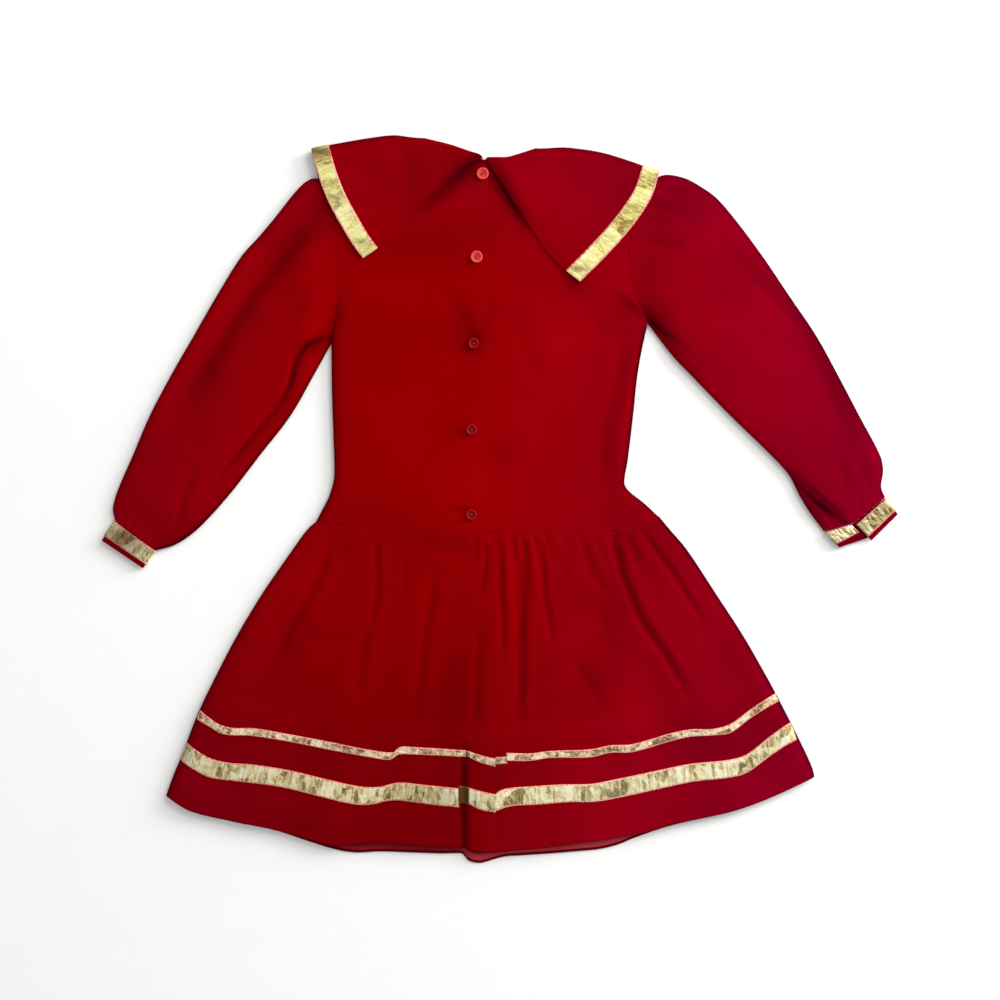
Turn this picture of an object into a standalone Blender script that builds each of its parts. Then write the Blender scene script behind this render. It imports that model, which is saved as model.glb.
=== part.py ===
"""A child's drop-waist party dress, laid flat with its buttoned back side up.

The cloth is built as the real dress is cut: a front and two backs for the bodice, a gathered
skirt front and back, two sleeves with cuffs, and a wide collar in two halves that fold over
the shoulders. Every panel is a wall of cloth moulded from a grid, and what lies on a panel is
made from the same grid, moved out. All tables are in millimetres, with X to the right, Y
towards the neck and Z up from the surface that the dress lies on.
"""
import math

import bmesh
import bpy
from mathutils import Vector

MM = 0.001

# Driving dimensions, in millimetres
CLOTH = 1.5            # velvet wall
COLLAR_CLOTH = 1.3     # collar wall
RIBBON = 1.0           # sewn-on ribbon
GAP = 0.3              # between pieces at a seam or in a pile
SEAM = 0.4             # between the edges of two panels in plan
ARMHOLE_SEAM = 1.1     # the same round the armholes
COLLAR_RIBBON_WIDTH = 18.0
COLLAR_HOLLOW = 4.4    # between the two layers of the folded collar, round the shoulders
HEM_TO_WIDE = 45.0     # hem up to the wide skirt ribbon
WIDE_WIDTH = 18.5
WIDE_TO_NARROW = 30.0
NARROW_WIDTH = 8.5
OVERLAP_LEFT_X = -40.0    # free edge of the under back panel
OVERLAP_RIGHT_X = -12.0   # free edge of the buttoned back panel
GATHERS = 22              # small gathers along the back of the waist seam
SHARP_EDGE = math.radians(40)

# Heights that follow from the pile of layers
COLLAR_PILE = RIBBON + GAP + COLLAR_CLOTH + GAP   # front collar lobes, under the shoulders
RIBBON_PILE = RIBBON + GAP                        # front skirt ribbons, under the hem
PANEL_PILE = CLOTH + GAP

# Outlines in plan, in millimetres
ARMHOLE_LEFT = [(-176, 316), (-166, 285), (-160, 240), (-162, 200), (-169, 159)]
ARMHOLE_RIGHT = [(151, 316), (138, 285), (130, 245), (132, 210), (148, 178)]
SIDE_LEFT = [(-169, 159), (-168.5, 110), (-167, 65), (-166, 35), (-166.5, 20), (-171, 4),
             (-176, -6), (-185, -23)]
SIDE_RIGHT = [(148, 178), (141, 145), (137, 120), (134, 90), (128, 40), (124.5, 17),
              (129, 9), (144, -3), (159, -17)]
WAIST = [(-185, -23), (-100, -31), (-27, -36), (50, -33), (107, -27), (159, -17)]
SKIRT_LEFT = [(-185, -23), (-193, -29.5), (-211.5, -55), (-239, -95), (-263, -135),
              (-284, -175), (-303, -215), (-319, -254), (-328, -271), (-334, -292)]
SKIRT_RIGHT = [(159, -17), (170, -29.5), (187, -49.5), (217, -95), (243, -135), (266, -175),
               (284, -209), (304, -249), (313, -269), (315, -277)]
HEM_FRONT = [(-334, -292), (-310, -312), (-270, -322), (-230, -330), (-190, -343),
             (-165, -352), (-130, -354.5), (-60, -355), (-37, -357), (-22, -364.5),
             (10, -359), (50, -357), (90, -352), (130, -344), (170, -327), (230, -313),
             (270, -299), (315, -277)]
HEM_BACK = [(-334, -292), (-310, -311), (-270, -321), (-230, -329), (-190, -340),
            (-166, -348), (-120, -345), (-60, -346), (-44, -349), (-20, -357),
            (20, -352), (60, -347), (100, -341), (140, -335), (170, -326), (230, -312),
            (270, -298), (315, -277)]
SLEEVE_LEFT_OUTER = [(-176, 316), (-184, 320.5), (-191, 319.5), (-197, 316), (-208, 304.5),
                     (-224, 284.5), (-241, 264.5), (-259, 244.5), (-284, 204.5),
                     (-307, 164.5), (-330, 124.5), (-351, 84.5), (-368, 44.5),
                     (-383, 10), (-388, -8), (-386.2, -19.4)]
SLEEVE_LEFT_INNER = [(-169, 159), (-176, 144.5), (-187, 124.5), (-210, 84.5), (-241, 44.5),
                     (-272, 4.5), (-303.5, -29.5), (-325, -44.5), (-344.1, -50.4)]
SLEEVE_RIGHT_OUTER = [(151, 316), (160, 321), (168, 324), (176, 324), (187, 321),
                      (197, 316), (215, 304), (233, 284.5), (263, 244.5), (290, 204.5),
                      (317, 164.5), (339, 124.5), (360, 84.5), (381, 44.5), (384, 30),
                      (382, 13), (385.8, 2.6)]
SLEEVE_RIGHT_INNER = [(148, 178), (173, 144.5), (192, 124.5), (231, 84.5), (272, 44.5),
                      (290, 24.5), (300, 5), (311, -13), (324.6, -31.2)]

# Each collar half: the back lobe shows, and the front lobe lies under the shoulder
COLLARS = {
    "left": {
        "neck_back": [(-19, 340), (-40, 350), (-75, 359)],
        "centre_back": [(-19, 340), (-37, 333), (-53, 317), (-80, 288), (-137, 241.4)],
        "edge_back": [(-137, 241.4), (-156.4, 270.2), (-171, 297), (-181, 322.4),
                      (-187.5, 346)],
        "shoulder": [(-75, 359), (-100, 361), (-130, 359), (-187.5, 346)],
        "neck_front": [(-75, 359), (-62, 325), (-22, 300)],
        "edge_front": [(-187.5, 346), (-176, 300), (-155, 262), (-126, 228)],
        "centre_front": [(-22, 300), (-70, 262), (-126, 228)],
    },
    "right": {
        "neck_back": [(-9, 339), (10, 343), (35, 348.5)],
        "centre_back": [(-9, 339), (-1, 318), (18, 290), (50, 244), (80, 218)],
        "edge_back": [(80, 218), (100.7, 238.3), (121.7, 260.7), (138.6, 283.2),
                      (150.5, 304.2), (156, 323)],
        "shoulder": [(35, 348.5), (70, 348.5), (100, 344.5), (156, 323)],
        "neck_front": [(35, 348.5), (25, 320), (-12, 300)],
        "edge_front": [(156, 323), (146, 280), (122, 248), (84, 223)],
        "centre_front": [(-12, 300), (35, 255), (84, 223)],
    },
}

# Cuffs: corners of each layer, seam end first. A layer runs from its left to its right end
CUFF_LEFT = ((-386.6, -20.1), (-344.4, -50.9), (-357, -68.8), (-399.5, -40))
CUFF_RIGHT = {
    "upper_right": ((356, -24.4), (386.4, 2.2), (399.1, -13.7), (371.8, -40.5)),
    "upper_left": ((325, -32.2), (350.8, -24.3), (361.5, -34.6), (339.3, -47.6)),
    "vent": ((354.8, -23.6), (367, -38.5)),
}

# Folds: depth and width of a trough in the upper layer, and the line that it follows
SKIRT_FOLDS = [
    (2.0, 13, [(-179, -68), (-206, -122), (-237, -171)]),
    (1.5, 10, [(-123, -38), (-128, -113), (-141, -185)]),
    (1.6, 9, [(-68, -82), (-76, -150), (-85, -230)]),
    (1.2, 6, [(-14, -42), (-21, -104), (-25, -150)]),
    (2.2, 9, [(-22, -150), (-32, -243), (-37, -350)]),
    (1.3, 6, [(0, -60), (2, -190)]),
    (2.2, 8, [(20, -60), (20, -126), (17, -238)]),
    (1.4, 6, [(42, -56), (49, -113)]),
    (1.2, 8, [(84, -64), (102, -95)]),
    (0.8, 10, [(62, -153), (102, -207)]),
    (2.2, 9, [(116, -38), (127, -86), (149, -126), (174, -171), (200, -211)]),
    (1.8, 9, [(147, -42), (169, -73), (196, -122)]),
    (1.0, 10, [(100, -117), (124, -158)]),
    (1.0, 10, [(-193, -126), (-161, -138), (-130, -131)]),
    (-1.2, 14, [(-10, -250), (-6, -350)]),
]
BODICE_FOLDS = [
    (1.2, 9, [(-50, 210), (-26, 156)]),
    (1.0, 8, [(-10, 200), (-24, 156)]),
    (1.6, 12, [(97, 80), (107, 40), (108, 0)]),
    (-1.0, 40, [(45, 160), (70, 110)]),
    (1.0, 14, [(-115, 235), (-40, 250)]),
]
SLEEVE_FOLDS = [
    (1.8, 20, [(-185, 280), (-225, 262)]),
    (2.0, 14, [(-205, 235), (-245, 180), (-285, 125), (-320, 90)]),
    (1.8, 9, [(-305, 70), (-315, 20), (-328, -40)]),
    (2.0, 10, [(-169, 182), (-203, 144), (-225, 90), (-260, 45), (-295, 5)]),
    (1.4, 9, [(160, 312), (200, 300)]),
    (1.6, 15, [(136, 263), (189, 248)]),
    (1.8, 12, [(227, 252), (259, 217), (301, 175), (331, 113), (347, 81), (368, 47)]),
    (1.8, 10, [(148, 181), (192, 156)]),
    (2.2, 8, [(290, 28), (350, -22)]),
]

# Buttons down the placket: x, y, diameter and material
BUTTONS = [
    (-17.4, 325.7, 12.5, "coral button"),
    (-23.4, 242.6, 12.5, "coral button"),
    (-26.4, 156.2, 10.8, "dark button"),
    (-28.6, 70.1, 10.8, "dark button"),
    (-28.6, -14.6, 10.8, "dark button"),
]
BUTTON_HEIGHT = 2.2
BUTTON_RIM = 1.6
BUTTON_DISH = 1.4
BUTTON_STEPS = 16

# Materials: linear colour, roughness, metallic
MATERIALS = {
    "red velvet": ((0.32, 0.002, 0.004, 1.0), 0.95, 0.0),
    "gold ribbon": ((0.82, 0.62, 0.32, 1.0), 0.3, 1.0),
    "coral button": ((0.75, 0.08, 0.06, 1.0), 0.4, 0.0),
    "dark button": ((0.22, 0.008, 0.012, 1.0), 0.4, 0.0),
}


def ramp(start, end, value):
    """Smooth step from 0 at start to 1 at end."""
    share = (value - start) / (end - start)
    share = min(max(share, 0.0), 1.0)
    return share * share * (3.0 - 2.0 * share)


def smooth_line(points, share):
    """Point at a share of the length of a smooth line through the points."""
    knots = [0.0]
    for start, end in zip(points, points[1:]):
        knots.append(knots[-1] + (end - start).length)
    reach = share * knots[-1]
    i = 0
    while i < len(points) - 2 and reach > knots[i + 1]:
        i += 1
    span = knots[i + 1] - knots[i]
    t = (reach - knots[i]) / span

    def slope(k):
        before = max(k - 1, 0)
        after = min(k + 1, len(points) - 1)
        return (points[after] - points[before]) / (knots[after] - knots[before])

    start_part = (2 * t**3 - 3 * t**2 + 1) * points[i] + (t**3 - 2 * t**2 + t) * span * slope(i)
    end_part = (3 * t**2 - 2 * t**3) * points[i + 1] + (t**3 - t**2) * span * slope(i + 1)
    return start_part + end_part


def edge(*stretches):
    """Line in plan, of smooth stretches that meet at corners, as a function of 0 to 1."""
    parts = [[Vector(point) for point in stretch] for stretch in stretches]
    lengths = [sum((b - a).length for a, b in zip(part, part[1:])) for part in parts]

    def at(share):
        reach = share * sum(lengths)
        for part, length in zip(parts[:-1], lengths):
            if reach <= length:
                return smooth_line(part, reach / length)
            reach -= length
        return smooth_line(parts[-1], min(reach / lengths[-1], 1.0))

    return at


def panel_plan(top, low, left, right):
    """Plan of a panel between four edges: u from left to right, v from top to low."""
    def at(u, v):
        down = top(u).lerp(low(u), v)
        across = left(v).lerp(right(v), u)
        corners = top(0).lerp(top(1), u).lerp(low(0).lerp(low(1), u), v)
        return down + across - corners

    return at


def fold_depth(folds, place):
    """Depth at a place of the deepest troughs and highest ridges of a table of folds."""
    depth = 0.0
    for deepest, width, line in folds:
        points = [Vector(point) for point in line]
        nearest = (math.inf, 0.0)
        for i, (start, end) in enumerate(zip(points, points[1:])):
            along = end - start
            share = (place - start).dot(along) / along.length_squared
            share = min(max(share, 0.0), 1.0)
            distance = (place - start - along * share).length
            nearest = min(nearest, (distance, (i + share) / (len(points) - 1)))
        distance, share = nearest
        fade = 0.35 + 0.65 * ramp(0, 0.25, share) * ramp(1.0, 0.75, share)
        depth += deepest * fade * math.exp(-(distance / width) ** 2)
    return depth


def rest_level(y):
    """Height of the underside: the front collar lobes lift the dress near the shoulders."""
    return COLLAR_PILE * ramp(160, 212, y)


def wall(name, material, columns, rows, mould, closed=False):
    """Wall of cloth: a grid with two faces, each point placed by mould(u, v, face).

    Face 0 is the side nearer the wearer and face 1 the outer side. A closed wall is a tube,
    whose last column is its first.
    """
    shape = bmesh.new()
    bmesh.ops.create_grid(shape, x_segments=columns, y_segments=rows, size=0.5)
    top = bmesh.ops.extrude_face_region(shape, geom=shape.faces[:])
    for item in top["geom"]:
        if isinstance(item, bmesh.types.BMVert):
            item.co.z = 1.0
    if closed:
        ends = [face for face in shape.faces
                if all(abs(vert.co.x) > 0.499 for vert in face.verts)]
        bmesh.ops.delete(shape, geom=ends, context="FACES")
    for vert in shape.verts:
        u, v, face = vert.co.x + 0.5, 0.5 - vert.co.y, round(vert.co.z)
        vert.co = mould(u, v, face) * MM
    if closed:
        bmesh.ops.remove_doubles(shape, verts=shape.verts, dist=0.00001)
    bmesh.ops.recalc_face_normals(shape, faces=shape.faces)
    mesh = bpy.data.meshes.new(name)
    shape.to_mesh(mesh)
    shape.free()
    return add_object(name, mesh, material)


def add_object(name, mesh, material):
    """Object of the dress, in its collection, under the dress's empty."""
    mesh.shade_smooth()
    mesh.set_sharp_from_angle(angle=SHARP_EDGE)
    mesh.materials.append(materials[material])
    piece = bpy.data.objects.new(name, mesh)
    piece.parent = origin
    collection.objects.link(piece)
    return piece


def make_material(name, colour, roughness, metallic):
    """Principled material of one of the dress's stuffs."""
    material = bpy.data.materials.new(name)
    material.use_nodes = True
    shader = material.node_tree.nodes["Principled BSDF"]
    shader.inputs["Base Color"].default_value = colour
    shader.inputs["Roughness"].default_value = roughness
    shader.inputs["Metallic"].default_value = metallic
    return material


# Bodice

CROWN = 2.2                # fullness of the back above the front
CROWN_MIDDLE_X = -20.0
CROWN_HALF_WIDTH = 150.0


def back_crown(place):
    """Rise of the back above the front: level, but none at the sides and the shoulders."""
    across = max(0.0, 1.0 - ((place.x - CROWN_MIDDLE_X) / CROWN_HALF_WIDTH) ** 8)
    full = CROWN * across * ramp(215, 150, place.y)
    return max(full - fold_depth(BODICE_FOLDS, place) * across * ramp(230, 190, place.y), 0.0)


def placket_step(place):
    """Rise of the buttoned back where it passes over the under back."""
    return (CLOTH + 2 * GAP) * ramp(-80, -56, place.x)


def bodice_height(place, layer):
    """Height of the inner face of a bodice panel; layer is front, under or buttoned."""
    height = rest_level(place.y)
    if layer != "front":
        height += PANEL_PILE + back_crown(place)
    if layer == "buttoned":
        height += placket_step(place)
    return height


# Rows of a bodice panel, close together beside the armhole
BODICE_ROWS = [0.0, 0.06, 0.12, 0.18, 0.24, 0.3, 0.36, 0.42, 0.48, 0.61, 0.74, 0.87, 1.0]


def bodice_panel(name, plan, columns, layer):
    rows = len(BODICE_ROWS) - 1

    def mould(u, v, face):
        place = plan(u, BODICE_ROWS[round(v * rows)])
        return place.to_3d() + Vector((0, 0, bodice_height(place, layer) + face * CLOTH))

    return wall(name, "red velvet", columns, rows, mould)


def make_bodice():
    """Front, under back on the right and buttoned back on the left."""
    side_left = edge(ARMHOLE_LEFT, SIDE_LEFT)
    side_right = edge(ARMHOLE_RIGHT, SIDE_RIGHT)
    shoulder_left = [(-176, 316), (-75, 352)]
    shoulder_right = [(35, 343), (151, 316)]
    front_neck = [(-75, 352), (-60, 318), (-20, 294), (12, 306), (35, 343)]
    front = panel_plan(edge(shoulder_left, front_neck, shoulder_right), edge(WAIST),
                       side_left, side_right)
    bodice_panel("bodice_front", front, 14, "front")

    waist_left = edge(WAIST[:2] + [(OVERLAP_RIGHT_X, -36.2)])
    neck_left = [(-75, 352), (-40, 344), (OVERLAP_RIGHT_X, 336)]
    buttoned = panel_plan(edge(shoulder_left, neck_left), waist_left, side_left,
                          edge([(OVERLAP_RIGHT_X, 336), (OVERLAP_RIGHT_X, -36.2)]))
    bodice_panel("bodice_back_left", buttoned, 14, "buttoned")

    waist_right = edge([(OVERLAP_LEFT_X, -35.4)] + WAIST[2:])
    neck_right = [(OVERLAP_LEFT_X, 342), (-10, 337), (35, 343)]
    under = panel_plan(edge(neck_right, shoulder_right), waist_right,
                       edge([(OVERLAP_LEFT_X, 342), (OVERLAP_LEFT_X, -35.4)]), side_right)
    bodice_panel("bodice_back_right", under, 14, "under")


# Skirt

# Rows of the skirt grid: a share of the length above the ribbons, or a distance from the hem
NARROW_TOP = HEM_TO_WIDE + WIDE_WIDTH + WIDE_TO_NARROW + NARROW_WIDTH
UPPER_ROWS = [0.0, 0.12, 0.28, 0.46, 0.64, 0.83]
HEM_ROWS = [NARROW_TOP, NARROW_TOP - NARROW_WIDTH, HEM_TO_WIDE + WIDE_WIDTH, HEM_TO_WIDE,
            22.0, 0.0]
SKIRT_ROWS = len(UPPER_ROWS) + len(HEM_ROWS) - 1
SKIRT_COLUMNS = 4 * GATHERS
FRONT_COLUMNS = 24
SKIRT_FULLNESS = 2.6       # space between the back and the front, away from the folds
SKIRT_HIGHEST = 3.8
GATHER_HEIGHT = 2.4


def skirt_plans():
    """Plans of the skirt's front and back, which share their waist seam and sides."""
    waist = [(x, y - SEAM) for x, y in WAIST]
    left = [(x, y - SEAM) for x, y in SKIRT_LEFT[:1]] + SKIRT_LEFT[1:]
    right = [(x, y - SEAM) for x, y in SKIRT_RIGHT[:1]] + SKIRT_RIGHT[1:]
    return {name: panel_plan(edge(waist), edge(hem), edge(left), edge(right))
            for name, hem in (("front", HEM_FRONT), ("back", HEM_BACK))}


def skirt_length(plan, u):
    return (plan(u, 1) - plan(u, 0)).length


def skirt_row(plan, u, row):
    """Share of the skirt's length at a row of its grid."""
    above = 1.0 - NARROW_TOP / skirt_length(plan, u)
    if row < len(UPPER_ROWS):
        return UPPER_ROWS[row] * above
    return 1.0 - HEM_ROWS[row - len(UPPER_ROWS)] / skirt_length(plan, u)


def skirt_rest(plan, u, v):
    """Height of the skirt front: its ribbons lie under it and lift it a little."""
    distance = (1.0 - v) * skirt_length(plan, u)
    return RIBBON_PILE * ramp(NARROW_TOP + 22, NARROW_TOP, distance) * ramp(0, 22, distance)


def skirt_rise(plan, u, v):
    """Rise of the skirt back above the front: gathers at the waist, then the long folds."""
    place = plan(u, v)
    gather = 0.5 - 0.5 * math.cos(2 * math.pi * GATHERS * u)
    gather *= 0.75 + 0.25 * math.sin(17 * u + 2)
    full = SKIRT_FULLNESS - fold_depth(SKIRT_FOLDS, place)
    rise = full + (gather - 0.4) * GATHER_HEIGHT * ramp(0.42, 0.0, v)
    sides = ramp(0.0, 0.07, u) * ramp(1.0, 0.93, u)
    return min(max(rise, 0.0), SKIRT_HIGHEST) * sides


def back_height(plan, u, v):
    """Height of the inner face of the skirt back."""
    return skirt_rest(plan, u, v) + PANEL_PILE + skirt_rise(plan, u, v)


def make_skirt():
    """Skirt front and back, and the two ribbons round each."""
    plans = skirt_plans()

    def front_mould(u, v, face):
        share = skirt_row(plans["front"], u, round(v * SKIRT_ROWS))
        place = plans["front"](u, share)
        height = skirt_rest(plans["front"], u, share) + (1 - face) * CLOTH
        return place.to_3d() + Vector((0, 0, height))

    def back_mould(u, v, face):
        share = skirt_row(plans["back"], u, round(v * SKIRT_ROWS))
        place = plans["back"](u, share)
        height = back_height(plans["back"], u, share) + face * CLOTH
        return place.to_3d() + Vector((0, 0, height))

    wall("skirt_front", "red velvet", FRONT_COLUMNS, SKIRT_ROWS, front_mould)
    wall("skirt_back", "red velvet", SKIRT_COLUMNS, SKIRT_ROWS, back_mould)

    narrow_low = NARROW_TOP - NARROW_WIDTH
    wide_top = HEM_TO_WIDE + WIDE_WIDTH
    for size, upper, lower in (("narrow", NARROW_TOP, narrow_low),
                               ("wide", wide_top, HEM_TO_WIDE)):
        make_skirt_ribbons(plans, size, upper, lower)


def make_skirt_ribbons(plans, size, upper, lower):
    """One ribbon on the back, over its folds, and one on the front, under it."""
    def share(plan, u, v):
        return 1.0 - (upper + (lower - upper) * v) / skirt_length(plan, u)

    def back_mould(u, v, face):
        plan = plans["back"]
        height = back_height(plan, u, share(plan, u, v)) + CLOTH + GAP + face * RIBBON
        return plan(u, share(plan, u, v)).to_3d() + Vector((0, 0, height))

    def front_mould(u, v, face):
        plan = plans["front"]
        return plan(u, share(plan, u, v)).to_3d() + Vector((0, 0, (1 - face) * RIBBON))

    wall(f"skirt_ribbon_{size}_back", "gold ribbon", SKIRT_COLUMNS, 1, back_mould)
    wall(f"skirt_ribbon_{size}_front", "gold ribbon", FRONT_COLUMNS, 1, front_mould)


# Sleeves

SLEEVE_COLUMNS = 28
SLEEVE_ROWS = 13
UPPER_SHARE = 20 / 28      # of the columns, on the upper layer
EDGE_HEIGHT = CLOTH + 0.15
SLEEVE_FULLNESS = 3.6


def sleeve_fullness(place, v):
    """Space between the two layers of a sleeve, least at the armhole and in the folds."""
    full = 0.5 + (SLEEVE_FULLNESS - 0.5) * ramp(0.04, 0.2, v) * (1.0 - 0.5 * ramp(0.85, 1.0, v))
    return max(full - fold_depth(SLEEVE_FOLDS, place) * ramp(0.02, 0.12, v), 0.4)


def sleeve_wall(name, plan):
    """Flattened tube from the armhole to the cuff, flat underneath and full above."""
    def mould(u, v, face):
        if u < UPPER_SHARE:
            angle = math.pi * u / UPPER_SHARE
        else:
            angle = math.pi * (1.0 + (u - UPPER_SHARE) / (1.0 - UPPER_SHARE))
        width = (plan(1, v) - plan(0, v)).length
        across = 0.5 - 0.5 * math.cos(angle) * (1.0 - (1 - face) * 2.4 * CLOTH / width)
        place = plan(across, v)
        lift = rest_level(place.y) * ramp(0.25, 0.08, v)
        round_up = abs(math.sin(angle))
        inset = (1 - face) * CLOTH
        if u < UPPER_SHARE:
            total = 2 * CLOTH + sleeve_fullness(place, v)
            height = EDGE_HEIGHT + (total - inset - EDGE_HEIGHT) * round_up ** 0.7
        else:
            height = EDGE_HEIGHT - (EDGE_HEIGHT - inset) * min(1.0, 1.8 * round_up)
        return place.to_3d() + Vector((0, 0, lift + height))

    return wall(name, "red velvet", SLEEVE_COLUMNS, SLEEVE_ROWS, mould, closed=True)


def make_sleeves():
    """Sleeves, each a little clear of its armhole and its cuff."""
    left_top = edge([(x - ARMHOLE_SEAM, y) for x, y in ARMHOLE_LEFT])
    left = panel_plan(left_top, edge([SLEEVE_LEFT_OUTER[-1], SLEEVE_LEFT_INNER[-1]]),
                      edge([left_top(0).to_tuple()] + SLEEVE_LEFT_OUTER[1:]),
                      edge([left_top(1).to_tuple()] + SLEEVE_LEFT_INNER[1:]))
    sleeve_wall("sleeve_left", left)

    right_top = edge([(x + ARMHOLE_SEAM, y) for x, y in ARMHOLE_RIGHT])
    vent = (354.5, -22.6)
    right = panel_plan(right_top,
                       edge([SLEEVE_RIGHT_OUTER[-1], vent], [vent, SLEEVE_RIGHT_INNER[-1]]),
                       edge([right_top(0).to_tuple()] + SLEEVE_RIGHT_OUTER[1:]),
                       edge([right_top(1).to_tuple()] + SLEEVE_RIGHT_INNER[1:]))
    sleeve_wall("sleeve_right", right)


# Cuffs

CUFF_HOLLOW = 0.5
CUFF_TURN_STEPS = 4
CUFF_RIBBON_SHARE = 0.8    # of the cuff's depth, from the seam down


def cuff_turn(corners, end):
    """Stations round one end of a cuff, from its upper layer to its lower one or back."""
    first = 0 if end == "left" else 1
    seam, hem = Vector(corners[first]), Vector(corners[3 - first])
    along = (Vector(corners[1]) - Vector(corners[0])).normalized()
    outward = -along if end == "left" else along
    angles = [90 - 180 * i / CUFF_TURN_STEPS for i in range(CUFF_TURN_STEPS + 1)]
    stations = [(seam, hem, outward, math.radians(angle)) for angle in angles]
    return stations[::-1] if end == "left" else stations


def cuff_end(corners, end):
    """Station at the free end of an open cuff's upper layer."""
    first = 0 if end == "left" else 1
    return (Vector(corners[first]), Vector(corners[3 - first]), Vector((0, 0)), math.radians(90))


def cuff_wall(name, material, stations, inner, thickness, depth, closed):
    """Band that follows the stations; inner is its distance from the cuff's own middle."""
    middle = RIBBON + GAP + CLOTH + CUFF_HOLLOW / 2
    columns = len(stations) if closed else len(stations) - 1

    def mould(u, v, face):
        seam, hem, outward, angle = stations[round(u * columns) % len(stations)]
        reach = inner + face * thickness
        shrink = 2 * CLOTH + RIBBON + GAP + CUFF_HOLLOW
        place = seam.lerp(hem, v * depth) + outward * (reach * math.cos(angle) - shrink / 2)
        return place.to_3d() + Vector((0, 0, middle + reach * math.sin(angle)))

    return wall(name, material, columns, 2, mould, closed)


def make_cuffs():
    """Each cuff and its ribbon: the left one is closed, the right one open at its vent."""
    right_end, left_end = CUFF_RIGHT["upper_right"], CUFF_RIGHT["upper_left"]
    seam, hem = (Vector(point) for point in CUFF_RIGHT["vent"])
    vent = (seam, hem, Vector((0, 0)), math.radians(-90))
    rings = {
        "left": (cuff_turn(CUFF_LEFT, "right") + cuff_turn(CUFF_LEFT, "left"), True),
        "right": ([cuff_end(right_end, "left")] + cuff_turn(right_end, "right") + [vent]
                  + cuff_turn(left_end, "left") + [cuff_end(left_end, "right")], False),
    }
    inner = CUFF_HOLLOW / 2
    for side, (stations, closed) in rings.items():
        cuff_wall(f"cuff_{side}", "red velvet", stations, inner, CLOTH, 1.0, closed)
        cuff_wall(f"cuff_ribbon_{side}", "gold ribbon", stations, inner + CLOTH + GAP, RIBBON,
                  CUFF_RIBBON_SHARE, closed)


# Collar

COLLAR_COLUMNS = 20
BACK_SHARE = 0.45      # of the columns, on the back lobe
TURN_SHARE = 0.15      # of the columns, round the fold at the shoulder
COLLAR_ROWS = 8


def collar_mould(outline, side, inner, thickness, start):
    """Mould of a collar half, or of its ribbon, which starts near its outer edge."""
    back = panel_plan(edge(outline["neck_back"]), edge(outline["edge_back"]),
                      edge(outline["centre_back"]), edge(outline["shoulder"]))
    front = panel_plan(edge(outline["neck_front"]), edge(outline["edge_front"]),
                       edge(outline["shoulder"]), edge(outline["centre_front"]))
    radius = COLLAR_HOLLOW / 2
    middle = RIBBON + GAP + COLLAR_CLOTH + radius

    def placket_lift(place, share):
        """The left half also passes over the buttoned edge near the neck."""
        if side == "right":
            return 0.0
        return (CLOTH + GAP) * ramp(-100, -66, place.x) * ramp(0.95, 0.45, share)

    def mould(u, v, face):
        reach = radius + inner + face * thickness
        if u <= BACK_SHARE + 0.001:
            share = u / BACK_SHARE
            place = back(share, start(back, share, v))
            return place.to_3d() + Vector((0, 0, middle + reach + placket_lift(place, share)))
        if u < BACK_SHARE + TURN_SHARE - 0.001:
            angle = math.pi * (u - BACK_SHARE) / TURN_SHARE
            v = start(back, 1, v)
            along = back(1, min(v + 0.01, 1)) - back(1, max(v - 0.01, 0))
            outward = Vector((-along.y, along.x)).normalized()
            if outward.y < 0:
                outward = -outward
            place = back(1, v) + outward * reach * math.sin(angle)
            return place.to_3d() + Vector((0, 0, middle + reach * math.cos(angle)))
        share = (u - BACK_SHARE - TURN_SHARE) / (1.0 - BACK_SHARE - TURN_SHARE)
        place = front(share, start(front, share, v))
        return place.to_3d() + Vector((0, 0, middle - reach))

    return mould


def make_collars():
    """Collar halves and the ribbon along the outer edge of each."""
    def whole(plan, share, v):
        return v

    def ribbon(plan, share, v):
        depth = (plan(share, 1) - plan(share, 0)).length
        return 1.0 - COLLAR_RIBBON_WIDTH / depth * (1.0 - v)

    for side, outline in COLLARS.items():
        wall(f"collar_{side}", "red velvet", COLLAR_COLUMNS, COLLAR_ROWS,
             collar_mould(outline, side, 0.0, COLLAR_CLOTH, whole))
        wall(f"collar_ribbon_{side}", "gold ribbon", COLLAR_COLUMNS, 1,
             collar_mould(outline, side, COLLAR_CLOTH + GAP, RIBBON, ribbon))


# Buttons

def make_button(name, x, y, diameter, material):
    """Dished button with a raised rim, turned about its own axis, on the buttoned back."""
    radius = diameter / 2
    profile = [
        (0.0, BUTTON_DISH),
        (radius - 2 * BUTTON_RIM, BUTTON_DISH),
        (radius - BUTTON_RIM, BUTTON_HEIGHT),
        (radius - 0.4, BUTTON_HEIGHT),
        (radius, BUTTON_HEIGHT - 0.6),
        (radius - 0.8, 0.0),
        (0.0, 0.0),
    ]
    mesh = bpy.data.meshes.new(name)
    points = [(across * MM, 0, up * MM) for across, up in profile]
    mesh.from_pydata(points, [(i, i + 1) for i in range(len(points) - 1)], [])
    button = add_object(name, mesh, material)
    turn = button.modifiers.new("turn", "SCREW")
    turn.steps = BUTTON_STEPS
    turn.render_steps = BUTTON_STEPS
    turn.use_merge_vertices = True
    turn.merge_threshold = 0.00001
    around = [Vector((x, y)) + Vector((math.cos(a), math.sin(a))) * radius
              for a in (math.radians(45 * i) for i in range(8))]
    under = max(bodice_height(place, "buttoned") for place in around)
    button.location = Vector((x, y, under + CLOTH + GAP)) * MM


def remove_everything():
    for item in list(bpy.data.objects):
        bpy.data.objects.remove(item, do_unlink=True)


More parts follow.
